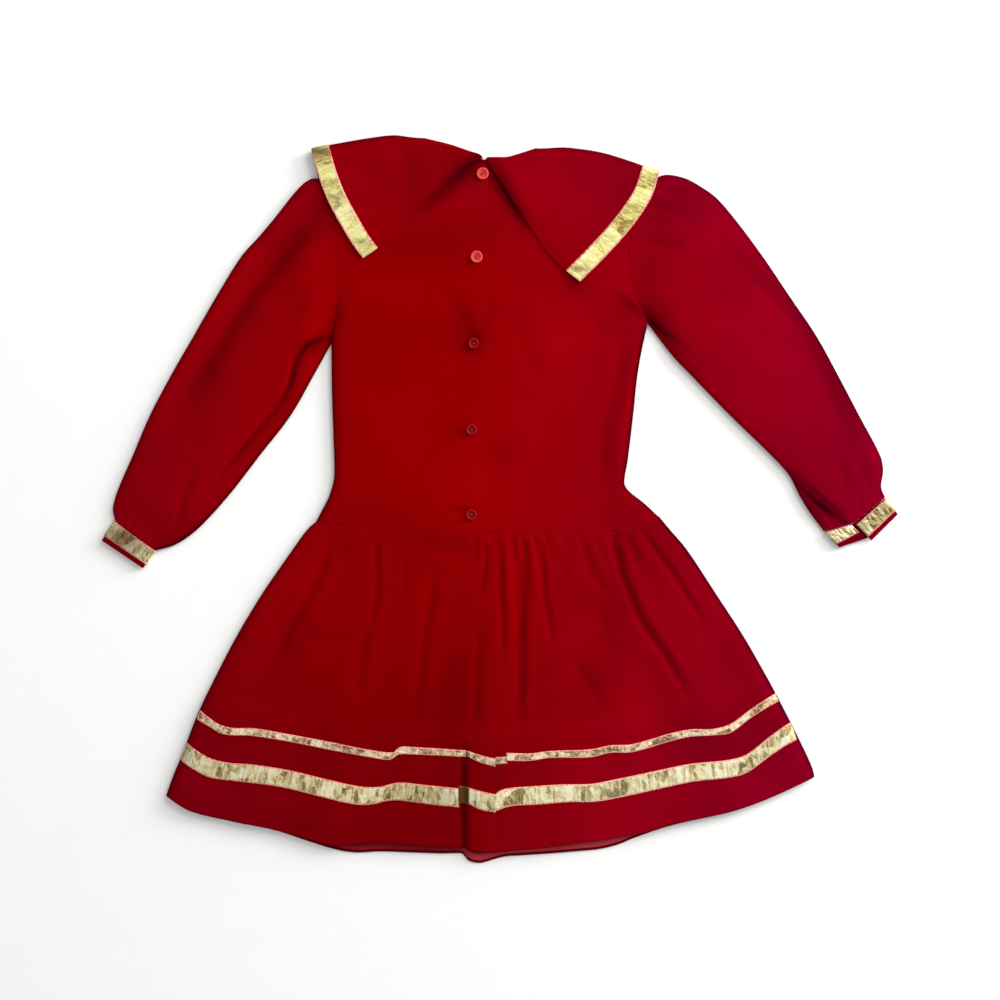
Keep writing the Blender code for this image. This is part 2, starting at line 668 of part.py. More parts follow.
def centre_on_origin():
    """Move the dress so that the middle of its box stands on the origin."""
    corners = []
    bpy.context.view_layer.update()
    for piece in collection.objects:
        if piece.type == "MESH" and piece.modifiers.get("turn") is None:
            corners += [vert.co for vert in piece.data.vertices]
    for axis in range(2):
        values = [corner[axis] for corner in corners]
        origin.location[axis] = -(min(values) + max(values)) / 2


remove_everything()
collection = bpy.data.collections.new("party_dress")
bpy.context.scene.collection.children.link(collection)
origin = bpy.data.objects.new("dress_origin", None)
collection.objects.link(origin)
materials = {name: make_material(name, *values) for name, values in MATERIALS.items()}

make_bodice()
make_skirt()
make_sleeves()
make_cuffs()
make_collars()
for number, (x, y, diameter, material) in enumerate(BUTTONS, start=1):
    make_button(f"button_{number}", x, y, diameter, material)
centre_on_origin()
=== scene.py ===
"""Looks of the party dress: red velvet, gold ribbon and buttons, laid flat back side up.

The pieces are made in millimetres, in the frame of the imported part: X to the right, Y towards
the neck and Z up from the surface that the dress lies on.
"""
import math

import bmesh
import bpy
import numpy as np
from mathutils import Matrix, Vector
from mathutils.bvhtree import BVHTree


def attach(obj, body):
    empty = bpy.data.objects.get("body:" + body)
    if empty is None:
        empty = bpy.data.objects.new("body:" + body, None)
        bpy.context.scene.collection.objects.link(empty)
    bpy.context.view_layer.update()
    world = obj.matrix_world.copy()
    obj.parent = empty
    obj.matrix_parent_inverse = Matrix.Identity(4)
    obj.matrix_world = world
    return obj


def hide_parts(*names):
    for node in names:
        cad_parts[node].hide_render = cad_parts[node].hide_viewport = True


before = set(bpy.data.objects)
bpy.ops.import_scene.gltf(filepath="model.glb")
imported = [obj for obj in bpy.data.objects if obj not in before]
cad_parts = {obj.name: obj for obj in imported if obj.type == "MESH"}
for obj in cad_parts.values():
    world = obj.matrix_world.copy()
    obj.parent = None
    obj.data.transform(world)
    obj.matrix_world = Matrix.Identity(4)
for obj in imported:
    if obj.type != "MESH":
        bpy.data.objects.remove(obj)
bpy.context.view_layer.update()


# Surface, light and camera
#
# The dress lies on a white studio table, under two soft lamps beyond its upper right corner and
# a pale room that is brightest overhead. The camera looks straight down on it.

CAMERA_HEIGHT = 1.6
FIELD = 1.0                # across the picture, at the height of the cloth
CLOTH_HEIGHT = 0.006
SENSOR = 36.0
TABLE_HALF = 3.0
TABLE_DROP = 0.0003        # clear below the underside of the dress
ROOM_STRENGTH = 0.85

# Sockets of a Mix node that holds colours: first, second and result
FIRST_COLOUR, SECOND_COLOUR, MIXED_COLOUR = 6, 7, 2


class Wire:
    """A socket of a material's nodes. Sums on it add Math nodes to the same material."""

    def __init__(self, tree, socket=None):
        self.tree = tree
        self.socket = socket

    def node(self, kind, sockets=(), output=0, **settings):
        """A new node: its settings first, then the values or links of its sockets."""
        made = self.tree.nodes.new("ShaderNode" + kind)
        for name, value in settings.items():
            if name == "stops":
                set_stops(made.color_ramp, value)
            else:
                setattr(made, name, value)
        for place, value in dict(sockets).items():
            if isinstance(value, Wire):
                self.tree.links.new(value.socket, made.inputs[place])
            else:
                made.inputs[place].default_value = value
        return Wire(self.tree, made.outputs[output] if len(made.outputs) else None)

    def math(self, operation, first, second=0.0):
        return self.node("Math", {0: first, 1: second}, operation=operation)

    def mix(self, first, second):
        """Colour between two colours, by this value."""
        return self.node("Mix", {0: self, FIRST_COLOUR: first, SECOND_COLOUR: second},
                         MIXED_COLOUR, data_type="RGBA")

    def clamped(self):
        return self.node("Clamp", {0: self})

    def between(self, low, high):
        """This value's way from low to high, as 0 to 1, eased."""
        return self.node("MapRange", {0: self, 1: low, 2: high}, interpolation_type="SMOOTHSTEP")

    def __add__(self, other):
        return self.math("ADD", self, other)

    __radd__ = __add__

    def __sub__(self, other):
        return self.math("SUBTRACT", self, other)

    def __rsub__(self, other):
        return self.math("SUBTRACT", other, self)

    def __mul__(self, other):
        return self.math("MULTIPLY", self, other)

    __rmul__ = __mul__


def set_stops(ramp, stops):
    """Places and colours of a colour ramp, first to last."""
    while len(ramp.elements) < len(stops):
        ramp.elements.new(1.0)
    for element, (place, colour) in zip(ramp.elements, stops):
        element.position = place
        element.color = colour


def paint(red, green, blue):
    """Linear colour of screen values from 0 to 255."""
    values = [value / 255 for value in (red, green, blue)]
    return [v / 12.92 if v <= 0.04045 else ((v + 0.055) / 1.055) ** 2.4 for v in values] + [1.0]


def new_material(name):
    """An empty material, and the wire of its nodes."""
    material = bpy.data.materials.new(name)
    material.use_nodes = True
    material.node_tree.nodes.clear()
    return material, Wire(material.node_tree)


def make_table():
    """White table top, a hair below the dress."""
    material, wire = new_material("white table")
    place = wire.node("TexCoord", output="Object")
    grain = wire.node("TexNoise", {"Vector": place, "Scale": 40.0, "Detail": 4.0})
    shade = grain.mix(paint(247, 247, 247), paint(250, 250, 250))
    shader = wire.node("BsdfPrincipled", {"Base Color": shade, "Roughness": 0.9,
                                          "Specular IOR Level": 0.1})
    wire.node("OutputMaterial", {"Surface": shader})
    mesh = bpy.data.meshes.new("table")
    corners = [(x * TABLE_HALF, y * TABLE_HALF, -TABLE_DROP)
               for x, y in ((-1, -1), (1, -1), (1, 1), (-1, 1))]
    mesh.from_pydata(corners, [], [(0, 1, 2, 3)])
    mesh.materials.append(material)
    table = bpy.data.objects.new("table", mesh)
    bpy.context.scene.collection.objects.link(table)


def make_room():
    """Pale room: bright overhead, dimmer towards the walls, and never quite even."""
    world = bpy.data.worlds.new("room")
    bpy.context.scene.world = world
    world.use_nodes = True
    world.node_tree.nodes.clear()
    wire = Wire(world.node_tree)
    direction = wire.node("TexCoord", output="Generated")
    height = wire.node("SeparateXYZ", {0: direction}, output="Z")
    cloud = wire.node("TexNoise", {"Vector": direction, "Scale": 2.6, "Detail": 3.0})
    bright = wire.node("ValToRGB", {0: height + (cloud - 0.5) * 0.5},
                       stops=[(0.0, (0.20, 0.20, 0.18, 1)), (0.45, (0.42, 0.42, 0.40, 1)),
                              (0.75, (0.72, 0.72, 0.71, 1)), (1.0, (0.95, 0.95, 0.95, 1))])
    background = wire.node("Background", {"Color": bright, "Strength": ROOM_STRENGTH})
    wire.node("OutputWorld", {"Surface": background})


def make_lamp(name, place, size, power, colour):
    """Square soft lamp that looks at the middle of the dress."""
    light = bpy.data.lights.new(name, "AREA")
    light.size = size
    light.energy = power
    light.color = colour
    lamp = bpy.data.objects.new(name, light)
    lamp.location = place
    lamp.rotation_euler = Vector(place).to_track_quat("Z", "Y").to_euler()
    bpy.context.scene.collection.objects.link(lamp)


def make_camera():
    """Camera straight above the dress."""
    camera = bpy.data.cameras.new("camera")
    camera.sensor_width = SENSOR
    camera.lens = SENSOR * (CAMERA_HEIGHT - CLOTH_HEIGHT) / FIELD
    eye = bpy.data.objects.new("camera", camera)
    eye.location = (0, 0, CAMERA_HEIGHT)
    bpy.context.scene.collection.objects.link(eye)
    bpy.context.scene.camera = eye


make_table()
make_room()
make_lamp("soft lamp", place=(2.3, 2.4, 2.1), size=2.8, power=128, colour=(1.0, 0.99, 0.98))
make_lamp("low side lamp", place=(3.2, 1.7, 0.8), size=1.5, power=158,
          colour=(1.0, 0.98, 0.97))
make_camera()
bpy.context.scene.view_settings.view_transform = "Standard"


# Skirt front
#
# The layer of the skirt under the back: red velvet, flared from the waist seam to the hem. The
# hem is turned up inside and shows as a paler band past the edge of the back. Its outer side
# lies flat on the table, on its two ribbons.

MM = 0.001
CLOTH = 1.5
GAP = 0.3
RIBBON = 1.0
WAIST_LAP = 0.8
HEM_TO_WIDE = 45.0
WIDE_WIDTH = 18.5
WIDE_TO_NARROW = 30.0
NARROW_WIDTH = 8.5
NARROW_TOP = HEM_TO_WIDE + WIDE_WIDTH + WIDE_TO_NARROW + NARROW_WIDTH
LIFT_REACH = 22.0          # of cloth that rises beside a ribbon under it
RIBBON_PILE = RIBBON + GAP
PANEL_PILE = CLOTH + GAP

WAIST = [(-185, -23), (-100, -31), (-27, -34.5), (50, -34), (107, -31.5), (140, -26),
         (159, -17)]
SKIRT_LEFT = [(-185, -23), (-193, -29.5), (-211.5, -55), (-239, -95), (-263, -135),
              (-284, -175), (-303, -215), (-318, -254), (-325.5, -272), (-334.6, -296)]
SKIRT_RIGHT = [(159, -17), (170, -29.5), (187, -49.5), (217, -95), (243, -135), (266, -175),
               (284, -209), (304, -249), (313, -269), (315, -277)]
HEM_FRONT = [(-334.6, -296), (-310, -312), (-270, -322), (-230, -330), (-190, -343),
             (-165, -350.5), (-145, -353.5), (-120, -352.5), (-90, -353.5), (-60, -354.5),
             (-38, -354.5), (-35.5, -357), (-32, -361.5), (-20, -364), (-5, -360),
             (5, -357.5), (20, -356.5), (50, -354.5), (80, -352), (100, -350),
             (120, -345), (133, -339.5), (170, -327), (230, -313), (270, -299), (315, -277)]

# Soft edges of a cloth wall: distance from the edge, and share of the thickness there
EDGE_STEPS = [(0.0, 0.35), (0.3, 0.75), (0.8, 1.0)]
EDGE_PLACES = tuple(place for place, share in EDGE_STEPS[1:])


def ramp(start, end, value):
    """Smooth step from 0 at start to 1 at end."""
    share = np.clip((value - start) / (end - start), 0.0, 1.0)
    return share * share * (3.0 - 2.0 * share)


def smooth_line(points, shares):
    """Points at shares of the length of a smooth line through the points."""
    points = np.array(points, float)
    knots = np.concatenate([[0.0], np.cumsum(np.linalg.norm(np.diff(points, axis=0), axis=1))])
    before = np.maximum(np.arange(len(points)) - 1, 0)
    after = np.minimum(np.arange(len(points)) + 1, len(points) - 1)
    slopes = (points[after] - points[before]) / (knots[after] - knots[before])[:, None]
    reach = np.clip(shares, 0.0, 1.0) * knots[-1]
    i = np.clip(np.searchsorted(knots, reach, side="right") - 1, 0, len(points) - 2)
    span = (knots[i + 1] - knots[i])[..., None]
    t = (reach - knots[i])[..., None] / span
    start_part = (2 * t**3 - 3 * t**2 + 1) * points[i] + (t**3 - 2 * t**2 + t) * span * slopes[i]
    end_part = (3 * t**2 - 2 * t**3) * points[i + 1] + (t**3 - t**2) * span * slopes[i + 1]
    return start_part + end_part


def edge(*stretches):
    """Line in plan, of smooth stretches that meet at corners, as a function of shares."""
    lengths = [np.linalg.norm(np.diff(np.array(stretch, float), axis=0), axis=1).sum()
               for stretch in stretches]
    starts = np.concatenate([[0.0], np.cumsum(lengths)])

    def at(shares):
        reach = np.asarray(shares, float) * starts[-1]
        place = np.zeros(reach.shape + (2,))
        for stretch, length, start in zip(stretches, lengths, starts):
            inside = reach >= start
            place[inside] = smooth_line(stretch, (reach[inside] - start) / length)
        return place

    return at


def panel_plan(top, low, left, right):
    """Plan of a panel between four edges: u from left to right, v from top to low."""
    def at(u, v):
        u, v = np.broadcast_arrays(u, v)
        down = top(u) + (low(u) - top(u)) * v[..., None]
        across = left(v) + (right(v) - left(v)) * u[..., None]
        ends = np.zeros_like(u), np.ones_like(u)
        upper = top(ends[0]) + (top(ends[1]) - top(ends[0])) * u[..., None]
        lower = low(ends[0]) + (low(ends[1]) - low(ends[0])) * u[..., None]
        return down + across - upper - (lower - upper) * v[..., None]

    return at


def stations(count, length, near=EDGE_PLACES, far=EDGE_PLACES):
    """Shares along a length: even steps, and extra ones near its start and its end."""
    extra = [distance / length for distance in near] + [1 - distance / length for distance in far]
    return np.unique(np.round(np.concatenate([np.linspace(0, 1, count + 1), extra]), 6))


def width_at(plan, v):
    """Width of a plan from its left edge to its right one."""
    return np.linalg.norm(plan(np.ones_like(v), v) - plan(np.zeros_like(v), v), axis=-1)


def length_at(plan, u):
    """Length of a plan from its top edge to its low one."""
    return np.linalg.norm(plan(u, np.ones_like(u)) - plan(u, np.zeros_like(u)), axis=-1)


def raised(place, height):
    """Points in space at a height over places in plan."""
    return np.concatenate([place, height[..., None]], axis=-1)


def soft_edge(u, v, width, length, sides):
    """Share of the full thickness at each point: less beside the named edges."""
    places, shares = zip(*EDGE_STEPS)
    distances = {"left": u * width, "right": (1 - u) * width,
                 "top": v * length, "low": (1 - v) * length}
    share = np.ones(np.broadcast(u, v).shape)
    for side in sides:
        share = np.minimum(share, np.interp(distances[side], places, shares))
    return share


def add_piece(mesh, material, replaces=()):
    """Object of the dress that rides on its one body and stands for its solids."""
    mesh.materials.append(material)
    piece = bpy.data.objects.new(mesh.name, mesh)
    bpy.context.scene.collection.objects.link(piece)
    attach(piece, "root")
    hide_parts(*replaces)
    return piece


def grid_faces(rows, columns, offset, closed=False):
    """Corners of the faces of a grid of points, rows by columns."""
    row, column = np.meshgrid(np.arange(rows - 1), np.arange(columns - (not closed)),
                              indexing="ij")
    start = offset + row * columns
    following = (column + 1) % columns
    corners = [start + column, start + columns + column, start + columns + following,
               start + following]
    return np.stack(corners, axis=-1).reshape(-1, 4)


def strip_rows(count):
    """Shares across a strip, closest together at its two edges."""
    return 0.5 - 0.5 * np.cos(np.pi * np.linspace(0, 1, count))


def wall_mesh(name, inner, outer, shade=None, along=None, closed=False):
    """Closed wall between two grids of points, with its shade and its ribbon's lengthwise map.

    A closed grid joins its last column to its first, as a tube.
    """
    rows, columns = inner.shape[:2]
    count = rows * columns
    first, second = grid_faces(rows, columns, 0, closed), grid_faces(rows, columns, count, closed)
    faces = [first[:, ::-1], second]
    row_ends = [np.arange(columns), (rows - 1) * columns + np.arange(columns)]
    column_ends = [np.arange(rows) * columns, np.arange(rows) * columns + columns - 1]
    for rim in row_ends + ([] if closed else column_ends):
        start, end = (rim, np.roll(rim, -1)) if closed else (rim[:-1], rim[1:])
        faces.append(np.stack([start, end, end + count, start + count], axis=-1))
    points = np.concatenate([inner.reshape(-1, 3), outer.reshape(-1, 3)]) * MM
    mesh = bpy.data.meshes.new(name)
    mesh.from_pydata(points.tolist(), [], np.concatenate(faces).tolist())
    shape = bmesh.new()
    shape.from_mesh(mesh)
    bmesh.ops.recalc_face_normals(shape, faces=shape.faces)
    shape.to_mesh(mesh)
    shape.free()
    mesh.shade_smooth()
    shade = np.zeros((rows, columns)) if shade is None else shade
    layer = mesh.attributes.new("shade", "FLOAT", "POINT")
    layer.data.foreach_set("value", np.tile(np.asarray(shade, np.float32).ravel(), 2))
    if along is not None:
        across = np.broadcast_to(strip_rows(rows)[:, None], (rows, columns))
        flat = np.stack([np.broadcast_to(along, (rows, columns)) * MM, across], axis=-1)
        flat = np.tile(flat.reshape(-1, 2), (2, 1))
        corner = np.zeros(len(mesh.loops), np.int32)
        mesh.loops.foreach_get("vertex_index", corner)
        mesh.uv_layers.new(name="ribbon").data.foreach_set("uv", flat[corner].ravel())
    return mesh


def flat_wall(name, plan, u, v, under, thickness, shade=None, soft=("left", "right", "top", "low")):
    """Wall of cloth over a plan; under(place, u, v) is the height of its lower face."""
    u, v = np.meshgrid(u, v)
    place = plan(u, v)
    share = soft_edge(u, v, width_at(plan, 0.5), length_at(plan, 0.5), soft)
    middle, half = under(place, u, v) + thickness / 2, thickness / 2 * share
    return wall_mesh(name, raised(place, middle - half), raised(place, middle + half),
                     None if shade is None else shade(place, u, v))


def skirt_plan(hem):
    """Plan of a skirt panel, from just inside the waist seam to its hem."""
    waist = [(x, y + WAIST_LAP) for x, y in WAIST]
    left = [waist[0]] + SKIRT_LEFT[1:]
    right = [waist[-1]] + SKIRT_RIGHT[1:]
    return panel_plan(edge(waist), edge(hem), edge(left), edge(right))


def hem_distance(plan, u, v):
    """Distance up from the hem, along the cloth."""
    return (1.0 - v) * length_at(plan, u)


def skirt_rest(distance):
    """Height of the skirt front: its own ribbons lie under it and lift it a little."""
    return (RIBBON_PILE * ramp(NARROW_TOP + LIFT_REACH, NARROW_TOP, distance)
            * ramp(0, LIFT_REACH, distance))


# Deep, middle and light red: painted shade at the deep end and painted light at the light end
RED_SHADE_TO_LIGHT = (paint(38, 0, 2), paint(133, 0, 2), paint(174, 0, 5))
# The same reds with a painted bluish sheen
SHEEN_RED_SHADE_TO_LIGHT = (paint(42, 0, 12), paint(133, 0, 29), paint(170, 0, 38))


def vertex_shade(wire):
    """The painted shade and light that a mesh carries at its points."""
    return wire.node("Attribute", output="Fac", attribute_name="shade",
                     attribute_type="GEOMETRY")


def velvet(name, warm, sheen_reds):
    """Matte cotton velvet with a short nap, with painted shade in its folds and painted light on
    ridges.

    Its red is warm in the middle, and a painted sheen cools it towards the neck, hem and sides.
    """
    material, wire = new_material(name)
    place = wire.node("TexCoord", output="Object")
    x, y = (wire.node("SeparateXYZ", {0: place}, output=axis) for axis in "XY")
    # Painted sheen: bluish towards the sides, the neck and the hem
    painted_sheen = (wire.math("MAXIMUM", x + 0.04, 0.0) * 2.4
            + wire.math("MAXIMUM", -0.14 - x, 0.0) * 1.8
            + y.between(0.22, 0.33) * 0.3 + y.between(-0.2, -0.27) * 0.2).clamped()
    shade = vertex_shade(wire)
    brushed = wire.node("TexNoise", {"Vector": place, "Scale": 9.0, "Detail": 3.0,
                                     "Roughness": 0.45})
    blotches = wire.node("TexNoise", {"Vector": place, "Scale": 45.0, "Detail": 2.0})
    nap = wire.node("TexNoise", {"Vector": place, "Scale": 700.0, "Detail": 2.0})
    # Painted shade below 0 and painted light above it, from the shade at each point, with random
    # tone
    tone = (shade * 0.5 + (brushed - 0.5) * 0.13 + (blotches - 0.5) * 0.07
            + (nap - 0.5) * 0.012 + 0.5)
    reds = [wire.node("ValToRGB", {0: tone}, stops=list(zip((0.0, 0.5, 1.0), tones)))
            for tones in (warm, sheen_reds)]
    colour = (painted_sheen * (painted_sheen + 1.0) * 0.5).mix(*reds)
    fine = wire.node("Bump", {"Height": nap, "Strength": 0.06, "Distance": 0.0003})
    creased = wire.node("TexNoise", {"Vector": place, "Scale": 30.0, "Detail": 2.0})
    normal = wire.node("Bump", {"Height": creased, "Strength": 0.25, "Distance": 0.0014,
                                "Normal": fine})
    shader = wire.node("BsdfPrincipled", {"Base Color": colour, "Roughness": 1.0,
                                          "Specular IOR Level": 0.0, "Sheen Weight": 0.05,
                                          "Sheen Roughness": 0.5,
                                          "Sheen Tint": (1.0, 0.01, 0.06, 1.0),
                                          "Normal": normal})
    wire.node("OutputMaterial", {"Surface": shader})
    return material


ROLLED_EDGE = 2.4          # of the hem, from its fold
HEM_BAND_TOP = 10.0        # inner edge of the turned-up hem
HEM_ROWS = (0.3, 0.8, 1.6, 2.2, 2.9, 4.0, 6.0, 8.0, 10.0)
front_plan = skirt_plan(HEM_FRONT)
# Deep, middle and pale red of the hem: the pale is its wrong side, the deep is painted shade
hem_reds = (paint(48, 0, 8), paint(118, 2, 12), paint(176, 58, 68))
hem_velvet = velvet("hem velvet", hem_reds, hem_reds)


def front_under(place, u, v):
    return skirt_rest(hem_distance(front_plan, u, v))


def front_shade(place, u, v):
    """The wrong side of the hem is paler; its rolled edge is as red as the rest, in painted shade.
    """
    distance = hem_distance(front_plan, u, v)
    inside = ramp(ROLLED_EDGE - 0.5, ROLLED_EDGE + 0.5, distance)
    # Painted light: the pale band is brighter towards the right
    bright = 0.25 + 0.75 * ramp(-45, -20, place[..., 0])
    # Painted shade on the rolled edge
    return inside * ramp(HEM_BAND_TOP, 7.0, distance) * bright - 0.55 * (1 - inside)


skirt_front = add_piece(flat_wall(
    "skirt_front_cloth", front_plan, stations(150, 600), stations(60, 330, (), HEM_ROWS),
    front_under, CLOTH, front_shade), hem_velvet, ["skirt_front"])


# Skirt back
#
# The layer that shows: red velvet, gathered into the waist seam and let out in long soft folds
# to the hem, with one knife pleat down the middle. It is sewn to the front at both sides.

HEM_BACK = [(-334.6, -296), (-310, -311), (-270, -321), (-230, -329), (-190, -340),
            (-166, -346), (-150, -345), (-125, -343.3), (-100, -344.5), (-75, -346.5),
            (-41, -347.5), (-30, -350), (-10, -353), (15, -350.5), (40, -348.5), (66, -345),
            (84, -342), (105, -339.5), (120, -337), (140, -333.5), (170, -325),
            (230, -312), (270, -298), (315, -277)]
GATHERS = 22
SKIRT_FULLNESS = 3.8
GATHER_HEIGHT = 1.5
SIDE_ROUND = 12.0          # reach of the rounded fold at each side
SIDE_COLUMNS = (0.3, 0.8, 1.6, 3.0, 5.0, 7.5)
FOLD_RELIEF = 0.68         # height of a fold for each mm of its depth in a table
FOLD_SHADE = 0.055         # and its shade
STOP_RATE = 3.0            # how sharply cloth stops at the layer below

# Troughs: depth, width on the left and on the right of the line, ridge beside it, and line.
# A lap has one narrow side, where the upper layer ends.
SKIRT_FOLDS = [
    (2.4, 3.5, 5, 0.3, [(-173, -50), (-178, -68), (-205, -119), (-220, -146), (-240, -180)]),
    (1.2, 8, 8, 0.0, [(-163, -28), (-160, -62)]),
    (1.5, 3.5, 3.5, 0.3, [(-125, -38), (-123, -86), (-128, -119), (-133, -136)]),
    (1.4, 4, 5, 0.2, [(-133, -128), (-138, -153), (-141, -180), (-149, -205)]),
    (1.1, 8, 8, 0.1, [(-200, -123), (-188, -138), (-163, -141), (-133, -133)]),
    (1.6, 4, 5, 0.2, [(-65, -70), (-70, -103), (-77, -143), (-79, -176), (-87, -216),
                      (-89, -245)]),
    (0.6, 3, 3, 0.2, [(-95, -50), (-97, -110)]),
    (1.7, 2.8, 3, 0.3, [(-14, -34), (-15, -70), (-22, -104)]),
    (1.8, 3, 7, 0.3, [(-21, -128), (-24, -170), (-26, -200), (-28, -250)]),
    (1.7, 3, 3, 0.5, [(1, -50), (0, -86), (3, -120), (2, -172)]),
    (2.6, 4.5, 4.5, 0.45, [(22, -48), (23, -96), (20, -143), (20, -183), (17, -245)]),
    (1.5, 3, 3, 0.3, [(42, -46), (44, -93), (50, -126), (53, -156)]),
    (0.7, 3, 3, 0.2, [(58, -50), (63, -66), (71, -84)]),
    (1.3, 4, 5, 0.3, [(82, -42), (93, -76), (111, -97)]),
    (1.1, 5, 6, 0.1, [(72, -160), (90, -186), (102, -214)]),
    (2.8, 3.5, 4.5, 0.35, [(113, -32), (118, -66), (130, -96), (143, -126), (163, -153),
                           (180, -183), (202, -214)]),
    (0.9, 3, 4, 0.2, [(127, -36), (140, -72)]),
    (1.7, 3.5, 3.5, 0.3, [(141, -29), (157, -53), (177, -80), (191, -104), (212, -134)]),
    (1.2, 7, 8, 0.1, [(100, -112), (110, -143), (126, -162)]),
    (0.8, 4, 4, 0.3, [(-4, -245), (-4, -312), (-3, -352)]),
    (0.7, 5, 5, 0.1, [(150, -235), (170, -262)]),
]
PLEAT_DEPTH = 2.6
PLEAT_HALF = 3.6
PLEAT_SHADE = 0.3
PLEAT_LINE = [(-36, -236), (-37, -290), (-36, -349)]

# Broad patches of painted light and painted shade: shade, middle, and half width and half height
SKIRT_PATCHES = [
    (-0.14, (-205, -140), (18, 34)),
    (-0.10, (-290, -215), (26, 60)),
    (-0.12, (-40, -300), (14, 50)),
    (-0.12, (-50, -190), (22, 50)),
    (-0.16, (145, -40), (36, 26)),
    (-0.08, (120, -110), (24, 30)),
    (0.06, (-20, -345), (150, 14)),
    (0.16, (120, -335), (60, 14)),
    (0.07, (-200, -75), (30, 30)),
    (0.08, (10, -150), (8, 60)),
    (-0.12, (122, -85), (16, 44)),
    (0.12, (78, -140), (14, 30)),
    (0.20, (130, -218), (26, 34)),
    (0.12, (128, -320), (34, 40)),
    (0.10, (205, -130), (26, 44)),
    (-0.10, (95, -180), (16, 20)),
    (-0.22, (215, -245), (46, 34)),
    (-0.12, (270, -240), (20, 40)),
]


def along_line(points, place):
    """Signed distance from a smooth line, and the share of its length at the nearest point."""
    line = smooth_line(points, np.linspace(0, 1, 10))
    best = np.full(place.shape[:-1], 1e9)
    share, side = np.zeros_like(best), np.zeros_like(best)
    for i, (start, end) in enumerate(zip(line, line[1:])):
        along = end - start
        t = np.clip(((place - start) @ along) / (along @ along), 0.0, 1.0)
        offset = place - start - t[..., None] * along
        distance = np.linalg.norm(offset, axis=-1)
        turn = along[0] * offset[..., 1] - along[1] * offset[..., 0]
        nearer = distance < best
        best = np.where(nearer, distance, best)
        share = np.where(nearer, (i + t) / (len(line) - 1), share)
        side = np.where(nearer, np.where(turn < 0, -1.0, 1.0), side)
    return best * side, share


def fold_relief(folds, place):
    """Height that a table of folds adds, and the painted shade and light that go with it."""
    height, shade = np.zeros(place.shape[:-1]), np.zeros(place.shape[:-1])
    for depth, left, right, ridge, line in folds:
        distance, share = along_line(line, place)
        fade = (0.45 + 0.55 * ramp(0, 0.15, share)) * ramp(1.0, 0.65, share)
        trough = np.exp(-(distance / np.where(distance < 0, left, right) / 1.12) ** 2) * fade
        crest = np.exp(-((distance - 2.0 * right) / (1.3 * right)) ** 2) * fade
        height += FOLD_RELIEF * depth * (0.8 * ridge * crest - trough)
        shade += FOLD_SHADE * depth * (0.6 * ridge * crest - trough)
    return height, shade


def patch_shade(patches, place):
    """Painted shade and painted light that a table of soft patches adds."""
    shade = np.zeros(place.shape[:-1])
    for strength, middle, halves in patches:
        away = (((place - np.array(middle, float)) / np.array(halves, float)) ** 2).sum(axis=-1)
        shade += strength * np.exp(-away)
    return shade


def gather_wave(u, v):
    """Small gathers along the waist seam, each with its own length, and finer ones between."""
    phase = GATHERS * u + 0.45 * np.sin(9.1 * u + 0.4) + 0.25 * np.sin(31 * u)
    wave = 0.5 - 0.5 * np.cos(2 * np.pi * phase)
    fine = 0.5 - 0.5 * np.cos(2 * np.pi * (58 * u + 0.7 * np.sin(17 * u)))
    reach = 0.26 + 0.12 * np.sin(23 * u + 1.0) + 0.06 * np.sin(57 * u)
    full = 0.22 + 0.5 * ramp(0.40, 0.52, u) * ramp(0.75, 0.6, u)
    seam = 0.25 + 0.75 * ramp(0.0, 0.03, v)
    return ((wave - 0.45) * full + 0.12 * (fine - 0.5)) * ramp(reach, 0.0, v) * seam


PLACKET_STEP = 2.1         # the placket's second layer lifts the waist seam
SEAM_DIP = 0.3             # where the waist seam pulls the cloth down
back_plan = skirt_plan(HEM_BACK)


def kept_above(floor, value):
    """The value, softly stopped where it nears a floor."""
    return floor + np.logaddexp(0, STOP_RATE * (value - floor)) / STOP_RATE


def pleat_trough(place):
    """Share of the knife pleat's depth at each place."""
    distance, share = along_line(PLEAT_LINE, place)
    return np.exp(-(distance / PLEAT_HALF) ** 4) * ramp(0.0, 0.3, share)


def side_profile(distance):
    """Rounded rise of an upper layer from the fold or seam at its side."""
    return np.sqrt(np.clip(1 - (1 - np.clip(distance / SIDE_ROUND, 0, 1)) ** 2, 0, 1))


def skirt_rise(place, u, v):
    """Rise of the skirt back above the front."""
    height, _ = fold_relief(SKIRT_FOLDS, place)
    height -= PLEAT_DEPTH * pleat_trough(place)
    waves = 0.35 * np.sin(2 * np.pi * 8.5 * u + 1.2 * np.sin(5 * u)) * ramp(0.15, 0.6, v)
    rise = kept_above(0.1, SKIRT_FULLNESS + height + waves + GATHER_HEIGHT * gather_wave(u, v))
    rise *= side_profile(np.minimum(u, 1 - u) * width_at(back_plan, v))
    x = place[..., 0]
    placket = PLACKET_STEP * ramp(-130, -60, x) * ramp(-9, -13, x) * ramp(0.08, 0.0, v)
    return rise - SEAM_DIP * ramp(0.015, 0.0, v) + placket


def back_under(place, u, v):
    return skirt_rest(hem_distance(back_plan, u, v)) + PANEL_PILE + skirt_rise(place, u, v)


def rim_shade(distance, strength=1.0, reach=2.3):
    """Painted shade where velvet rolls over an outer edge."""
    return -strength * np.exp(-distance / reach)


